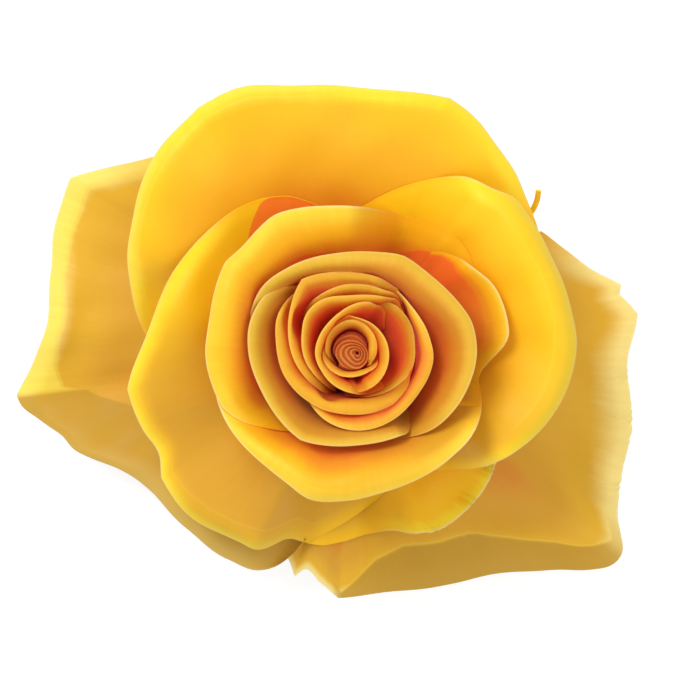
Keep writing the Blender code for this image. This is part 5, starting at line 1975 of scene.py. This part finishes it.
@dataclass
class Greenery:
    """Hip, cut stem and the turned-down sepals, with their hairs.

    Attributes:
        axis: Where the axis stands in the frame, in mm.
        dome_top: Height of the hip's top, in mm.
        rim_radius: Radius of its rim.
        rim_height: Height of its rim.
        neck: Radius where the hip meets the stem, and the stem's own.
        hip_foot: Height of the hip's foot.
        sepal_count: Number of sepals.
        sepal_first: Angle of the first sepal, in degrees.
        sepal_width: A sepal's greatest width before its lobes, in mm.
        sepal_sheet: Its thickness.
        sepal_seed: Seed of the first sepal's random draws.
    """

    axis: tuple[float, float]
    dome_top: float = HIP_TOP
    rim_radius: float = HIP_RIM_RADIUS
    rim_height: float = HIP_RIM_HEIGHT
    neck: float = 3.3
    hip_foot: float = 6.26
    sepal_count: int = 5
    sepal_first: float = 20.0
    sepal_width: float = 7.5
    sepal_sheet: float = 0.7
    sepal_seed: int = 40

    def hip(self, skin: bpy.types.Material) -> bpy.types.Object:
        """The rounded cup under the petals, faintly five-sided, with a thick rim.

        Args:
            skin: Its material.

        Returns:
            The object.
        """
        dome = np.array([(self.rim_radius * t, self.dome_top - (self.dome_top - self.rim_height) * t * t)
                         for t in np.linspace(0.0, 0.97, 24)])
        stations = np.array([*HIP_SIDE, (self.neck + 0.02, self.hip_foot)])
        run = np.linspace(0.0, 1.0, len(stations))
        side = np.stack([hermite(run, stations[:, k], np.linspace(0.0, 1.0, 44)) for k in (0, 1)], axis=1)
        base = np.array([(t * self.neck, self.hip_foot) for t in (0.85, 0.5, 0.0)])
        profile = np.concatenate([dome, side, base])
        body = TurnedMesh(self.axis, profile)
        turns = around(body.steps)
        below = smoothstep(12.6, 10.5, profile[:, 1]) * smoothstep(6.4, 8.0, profile[:, 1])
        ribs = (0.12 * np.cos(5.0 * (turns - math.radians(self.sepal_first)))
                + 0.05 * np.cos(10.0 * turns + 0.7) + 0.03 * np.sin(23.0 * turns))
        piece = body.build("rose_hip", below[:, None] * ribs[None, :], {
            "back": np.ones(len(profile)), "rim": np.full(len(profile), 5.0), "hairy": 0.16 * below})
        piece.data.materials.append(skin)
        place(piece, Slot.HIP, "hip")
        return piece

    def stem(self, skin: bpy.types.Material) -> bpy.types.Object:
        """The short stem, cut square, with its pith and its rings in the cut.

        Args:
            skin: Its material.

        Returns:
            The object.
        """
        top = self.hip_foot - 0.02
        upper = [(t * self.neck, top) for t in (0.0, 0.6, 0.96)]
        side = [(self.neck - 0.14 * math.sin(math.pi * t) + 0.02, top + (0.12 - top) * t)
                for t in np.linspace(0.0, 1.0, 22)]
        face = [(self.neck * t, 0.05 + 0.1 * bump) for t, bump in STEM_CUT]
        profile = np.array(upper + side + face)
        body = TurnedMesh(self.axis, profile)
        turns = around(body.steps)
        along = smoothstep(0.1, 1.2, profile[:, 1]) * (1.0 - smoothstep(top - 0.8, top, profile[:, 1]))
        grooves = 0.035 * np.sin(13.0 * turns) + 0.02 * np.sin(29.0 * turns + 1.0)
        cut = np.zeros(len(profile))
        cut[len(upper) + len(side) - 1:] = 1.0
        piece = body.build("rose_stem", along[:, None] * grooves[None, :], {
            "back": np.ones(len(profile)), "rim": np.full(len(profile), 5.0), "cut": cut,
            "ring": profile[:, 0] / self.neck, "hairy": 0.1 * along})
        piece.data.materials.append(skin)
        place(piece, Slot.STEM, "stem")
        return piece

    def sepal_grid(self, index: int) -> np.ndarray:
        """Middle surface of a sepal: keeled, hollowed, waved at its margin, some of them lobed.

        Args:
            index: Which sepal, from 0.

        Returns:
            Points, across by along by 3, in mm.
        """
        rng = np.random.default_rng(self.sepal_seed + index)
        middle = math.radians(self.sepal_first + 360.0 / self.sepal_count * index)
        t = np.linspace(0.0, 1.0, 72)
        spine = np.stack([bezier(t, *handles) for handles in SEPAL_SPINE], axis=1)
        half = 0.5 * self.sepal_width * (0.62 + 1.1 * t - 1.55 * t * t) * (1.0 - 0.7 * smoothstep(0.72,
                                                                                                  1.0, t))
        u = np.linspace(-1.0, 1.0, 25)
        offset = half[None, :] * u[:, None]
        drop = np.zeros_like(offset)
        for side in SEPAL_LEAFLETS.get(index, ()):
            edge = smoothstep(0.62, 1.0, side * u)[:, None]
            for at in (0.24, 0.42, 0.6):
                middle_at = at + rng.uniform(-0.03, 0.03)
                length = rng.uniform(1.5, 2.6) * (1.1 - at)
                pulse = np.exp(-((t - middle_at - 0.03 * edge) / 0.028) ** 2)
                offset = offset + side * edge * length * pulse
                drop = drop - 0.35 * edge ** 2 * pulse
        hollow = 0.13 * np.abs(offset) * (1.0 - t)[None, :]
        keel = -0.38 * np.exp(-((u / 0.16) ** 2))[:, None] * (1.0 - 0.6 * t)[None, :]
        wave = np.sin(t[None, :] * rng.uniform(17, 22) + 2.0 * u[:, None] + rng.uniform(0, 6))
        wave = 0.22 * np.abs(u)[:, None] ** 2 * wave * np.sin(np.pi * t)[None, :]
        height = np.maximum(spine[None, :, 1] + hollow + keel + wave + drop, 0.3)
        radius = np.repeat(spine[None, :, 0], len(u), axis=0)
        x = radius * math.cos(middle) - offset * math.sin(middle)
        y = radius * math.sin(middle) + offset * math.cos(middle)
        return np.stack([x, y, height], axis=-1) + np.array([*self.axis, 0.0])

    def sepals(self, skin: bpy.types.Material) -> list[bpy.types.Object]:
        """The five sepals under the rim, their tips on the ground.

        Args:
            skin: Their material.

        Returns:
            The objects.
        """
        pieces = []
        for index in range(self.sepal_count):
            sheet = SheetMesh(self.sepal_grid(index), self.sepal_sheet, thin=0.3, taper=1.6)
            piece = sheet.build(f"rose_sepal_{index + 1}", {"shown": np.ones(len(sheet.grid))})
            mesh = piece.data
            mesh.materials.append(skin)
            back = np.empty(len(mesh.vertices), dtype=np.float32)
            mesh.attributes["back"].data.foreach_get("value", back)
            at = np.empty(len(back) * 3, dtype=np.float32)
            mesh.vertices.foreach_get("co", at)
            lifted = smoothstep(0.001, 0.002, at[2::3])
            add_layer(mesh, "hairy", np.where(np.abs(back - 0.5) < 0.1, 1.0, 0.14 * back) * lifted)
            place(piece, Slot.SEPAL, f"sepal_{index + 1}")
            pieces.append(piece)
        return pieces

    def hairs(self, name: str, hosts: list[bpy.types.Object], slot: Slot, values: dict) -> None:
        """Gland-tipped hairs scattered over some pieces.

        Args:
            name: The new object's name.
            hosts: The pieces that they grow on.
            slot: The record's slot.
            values: Inputs of the hair tree.
        """
        points, faces, masks = [], [], []
        base = 0
        for host in hosts:
            mesh = host.data
            count = len(mesh.vertices)
            at, mask = np.empty(count * 3), np.empty(count, dtype=np.float32)
            mesh.vertices.foreach_get("co", at)
            mesh.attributes["hairy"].data.foreach_get("value", mask)
            points.append(at.reshape(-1, 3))
            masks.append(mask)
            faces += [tuple(base + k for k in face.vertices) for face in mesh.polygons]
            base += count
        piece = new_piece(name, np.concatenate(points), faces, {"hairy": np.concatenate(masks)},
                          smooth=False)
        tree_result(piece, hair_tree(), values)
        piece.data.shade_smooth()
        place(piece, slot)


# ---------------------------------------------------------------- studio

WHITE = (1.0, 1.0, 1.0, 1.0)


@dataclass
class Studio:
    """Pale floor, soft light and the camera over the bloom.

    Attributes:
        axis: Where the flower's axis stands, in mm.
        height: Height of the camera, in metres.
        lens: Its focal length, in mm.
        shift: How far it stands off the axis, in mm.
        floor_half: Half the floor's width, in metres.
        floor_level: Height of the floor, a hair under the stem's cut, in metres.
        floor_grey: How light the floor is where the camera sees it.
        floor_glow: How much of its own light it has there.
        bounce_grey: How light it is for the light that it throws back.
        world_light: Strength of the surroundings as light.
        aim: Height that the lamps face, in metres.
        lamps: Name, place, width in metres and power in watts of each lamp.
    """

    axis: tuple[float, float]
    height: float = 0.9
    lens: float = 258.6
    shift: tuple[float, float] = (-0.34, 0.68)
    floor_half: float = 3.0
    floor_level: float = -0.0001
    floor_grey: float = 0.36
    floor_glow: float = 0.74
    bounce_grey: float = 0.8
    world_light: float = 0.8
    aim: float = 0.03
    lamps: tuple = (("Key", (-0.38, 0.46, 0.95), 0.45, 7.4), ("Fill", (0.5, -0.2, 0.8), 0.8, 2.2))

    def floor(self) -> None:
        """A wide pale floor that keeps a soft shadow."""
        corners = [(x * self.floor_half, y * self.floor_half, self.floor_level)
                   for x, y in ((-1, -1), (1, -1), (1, 1), (-1, 1))]
        floor = new_piece("floor", np.array(corners), [(0, 1, 2, 3)], {}, smooth=False)
        material = bpy.data.materials.new("Pale floor")
        material.use_nodes = True
        net = Wires(material.node_tree)
        net.tree.nodes.clear()
        matt = net.step("ShaderNodeBsdfDiffuse", {"Color": (*[self.floor_grey] * 3, 1.0)})
        glow = net.step("ShaderNodeEmission", {"Color": WHITE, "Strength": self.floor_glow})
        both = net.step("ShaderNodeAddShader", {0: matt, 1: glow})
        plain = net.step("ShaderNodeBsdfDiffuse", {"Color": (*[self.bounce_grey] * 3, 1.0)})
        shown = net.step("ShaderNodeMixShader", {0: net.seen(), 1: plain, 2: both})
        net.node("ShaderNodeOutputMaterial", {"Surface": shown})
        floor.data.materials.append(material)

    def world(self) -> None:
        """Even white surroundings, dimmer as light than as background."""
        world = bpy.data.worlds.new("Studio")
        bpy.context.scene.world = world
        world.use_nodes = True
        net = Wires(world.node_tree)
        net.tree.nodes.clear()
        lit = net.step("ShaderNodeBackground", {"Color": WHITE, "Strength": self.world_light})
        shown = net.step("ShaderNodeBackground", {"Color": WHITE, "Strength": 1.0})
        both = net.step("ShaderNodeMixShader", {0: net.seen(), 1: lit, 2: shown})
        net.node("ShaderNodeOutputWorld", {"Surface": both})

    def lamp(self, name: str, at: tuple[float, float, float], size: float, energy: float) -> None:
        """A square soft lamp that faces the bloom.

        Args:
            name: Its name.
            at: Its place, in metres.
            size: Its width, in metres.
            energy: Its power, in watts.
        """
        light = bpy.data.lights.new(name, "AREA")
        light.size = size
        light.energy = energy
        lamp = bpy.data.objects.new(name, light)
        bpy.context.scene.collection.objects.link(lamp)
        way = np.array([self.axis[0] * MM, self.axis[1] * MM, self.aim]) - np.array(at)
        lamp.location = at
        lamp.rotation_mode = "QUATERNION"
        lamp.rotation_quaternion = Vector(way).to_track_quat("-Z", "Y")

    def camera(self) -> None:
        """Camera straight over the bloom, looking down."""
        data = bpy.data.cameras.new("Camera")
        data.lens = self.lens
        data.sensor_width = 36.0
        camera = bpy.data.objects.new("Camera", data)
        camera.location = (*((self.axis[k] + self.shift[k]) * MM for k in (0, 1)), self.height)
        bpy.context.scene.collection.objects.link(camera)
        bpy.context.scene.camera = camera

    def build(self) -> None:
        """Set the whole stage."""
        self.floor()
        self.world()
        for lamp in self.lamps:
            self.lamp(*lamp)
        self.camera()
        bpy.context.scene.view_settings.view_transform = "Standard"


def petal_finishes(groups: Groups) -> dict[str, bpy.types.Material]:
    """The petal materials.

    Args:
        groups: The shared shader groups.

    Returns:
        Materials by the finish's name.
    """
    # Each row: key, name, edge, pale, body, deep and recess colours, back colour, widths, veins, glow,
    # fold; deep and recess are partly the rose's orange base and partly painted shade.
    table = (
        ("core", "Furled core", (242, 168, 76), (236, 146, 62), (226, 120, 52), (216, 98, 48),
         (200, 78, 42),
         (225, 140, 58), (0.25, 0.8, 2.0, 4.0), 60.0, 0.5, 2.6),
        ("heart", "Heart petal", (250, 224, 104), (246, 206, 58), (246, 160, 48), (252, 126, 60),
         (252, 112, 66),
         (248, 168, 50), (0.4, 2.4, 3.4, 5.4), 60.0, 0.55, 2.6),
        ("cup", "Cup petal", (250, 220, 110), (246, 196, 46), (240, 152, 42), (228, 94, 44),
         (216, 76, 44),
         (242, 176, 42), (0.4, 1.8, 3.4, 5.5), 60.0, 0.35, 2.6),
        ("ring", "Ring petal", (232, 202, 108), (226, 184, 48), (218, 148, 34), (220, 114, 36),
         (208, 82, 38),
         (240, 180, 42), (0.45, 3.2, 7.0, 12.0), 60.0, 0.25, 2.6),
        ("collar", "Collar petal", (240, 216, 130), (248, 212, 50), (250, 192, 20), (246, 154, 30),
         (248, 118, 40), (246, 192, 40), (0.5, 3.6, 7.6, 10.5), 60.0, 0.25, 2.6),
        ("outer", "Outer petal", (238, 218, 130), (250, 222, 34), (250, 200, 14), (248, 182, 22),
         (250, 130, 36),
         (244, 200, 60), (0.5, 4.5, 16.0, 32.0), 60.0, 0.2, 2.6),
        ("guard", "Guard petal", (246, 234, 170), (248, 226, 136), (232, 182, 42), (224, 168, 44),
         (224, 138, 38), (220, 200, 90), (0.5, 6.0, 17.0, 32.0), 90.0, 0.2, 0.9),
    )
    finishes = {key: PetalFinish(name, *(colour(*shade) for shade in shades), widths, veins, glow, fold)
                for key, name, *shades, widths, veins, glow, fold in table}
    return {key: finish.material(groups) for key, finish in finishes.items()}


def green_finishes(groups: Groups) -> dict[str, bpy.types.Material]:
    """The green materials.

    Args:
        groups: The shared shader groups.

    Returns:
        Materials by the piece they are for.
    """
    table = (
        ("hip", "Hip skin", (104, 140, 60), (142, 170, 86), (140, 122, 58), (150, 165, 100),
         (150, 172, 96),
         180.0, 0.0002, 0.0),
        ("stem", "Stem skin", (96, 128, 58), (128, 152, 84), (138, 96, 58), (150, 165, 100),
         (142, 160, 92),
         260.0, 0.0002, 0.0),
        ("sepal", "Sepal skin", (92, 130, 54), (128, 160, 80), (134, 112, 56), (168, 186, 128),
         (196, 206, 156), 220.0, 0.00025, 0.15),
        ("hair", "Gland hair", (150, 140, 80), (176, 160, 100), (150, 90, 60), (160, 150, 90),
         (180, 170, 110),
         900.0, 0.0002, 0.0),
    )
    finishes = {key: LeafFinish(name, *(colour(*shade) for shade in shades), size, relief, glow)
                for key, name, *shades, size, relief, glow in table}
    finishes["stem"] = StemFinish(finishes["stem"])
    return {key: finish.material(groups) for key, finish in finishes.items()}


def main() -> None:
    """Build every piece in order and report it."""
    logging.basicConfig(level=logging.INFO, format="%(message)s")
    low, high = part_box("stem")
    axis = (0.5 / MM * (low[0] + high[0]), 0.5 / MM * (low[1] + high[1]))
    groups = Groups()
    bed = PetalBed(petal_table())
    bed.lay()
    petals = petal_finishes(groups)
    bloom = Bloom(axis, bed, petals)
    bloom.core()
    for shape in bed.shapes:
        bloom.make(shape)
    Petaloid(axis).build(petals["outer"])
    green = Greenery(axis)
    skins = green_finishes(groups)
    hip, stem = green.hip(skins["hip"]), green.stem(skins["stem"])
    sepals = green.sepals(skins["sepal"])
    green.hairs("rose_sepal_hairs", sepals, Slot.SEPAL, {
        "Density": 1.6e6, "Length": 0.0009, "Width": 0.00007, "Lean": 0.5, "Skin": skins["hair"]})
    green.hairs("rose_hip_bristles", [hip, stem], Slot.HIP, {
        "Density": 1.4e6, "Length": 0.0008, "Width": 0.00009, "Lean": 0.35, "Skin": skins["hair"]})
    Studio(axis).build()


if __name__ == "__main__":
    main()
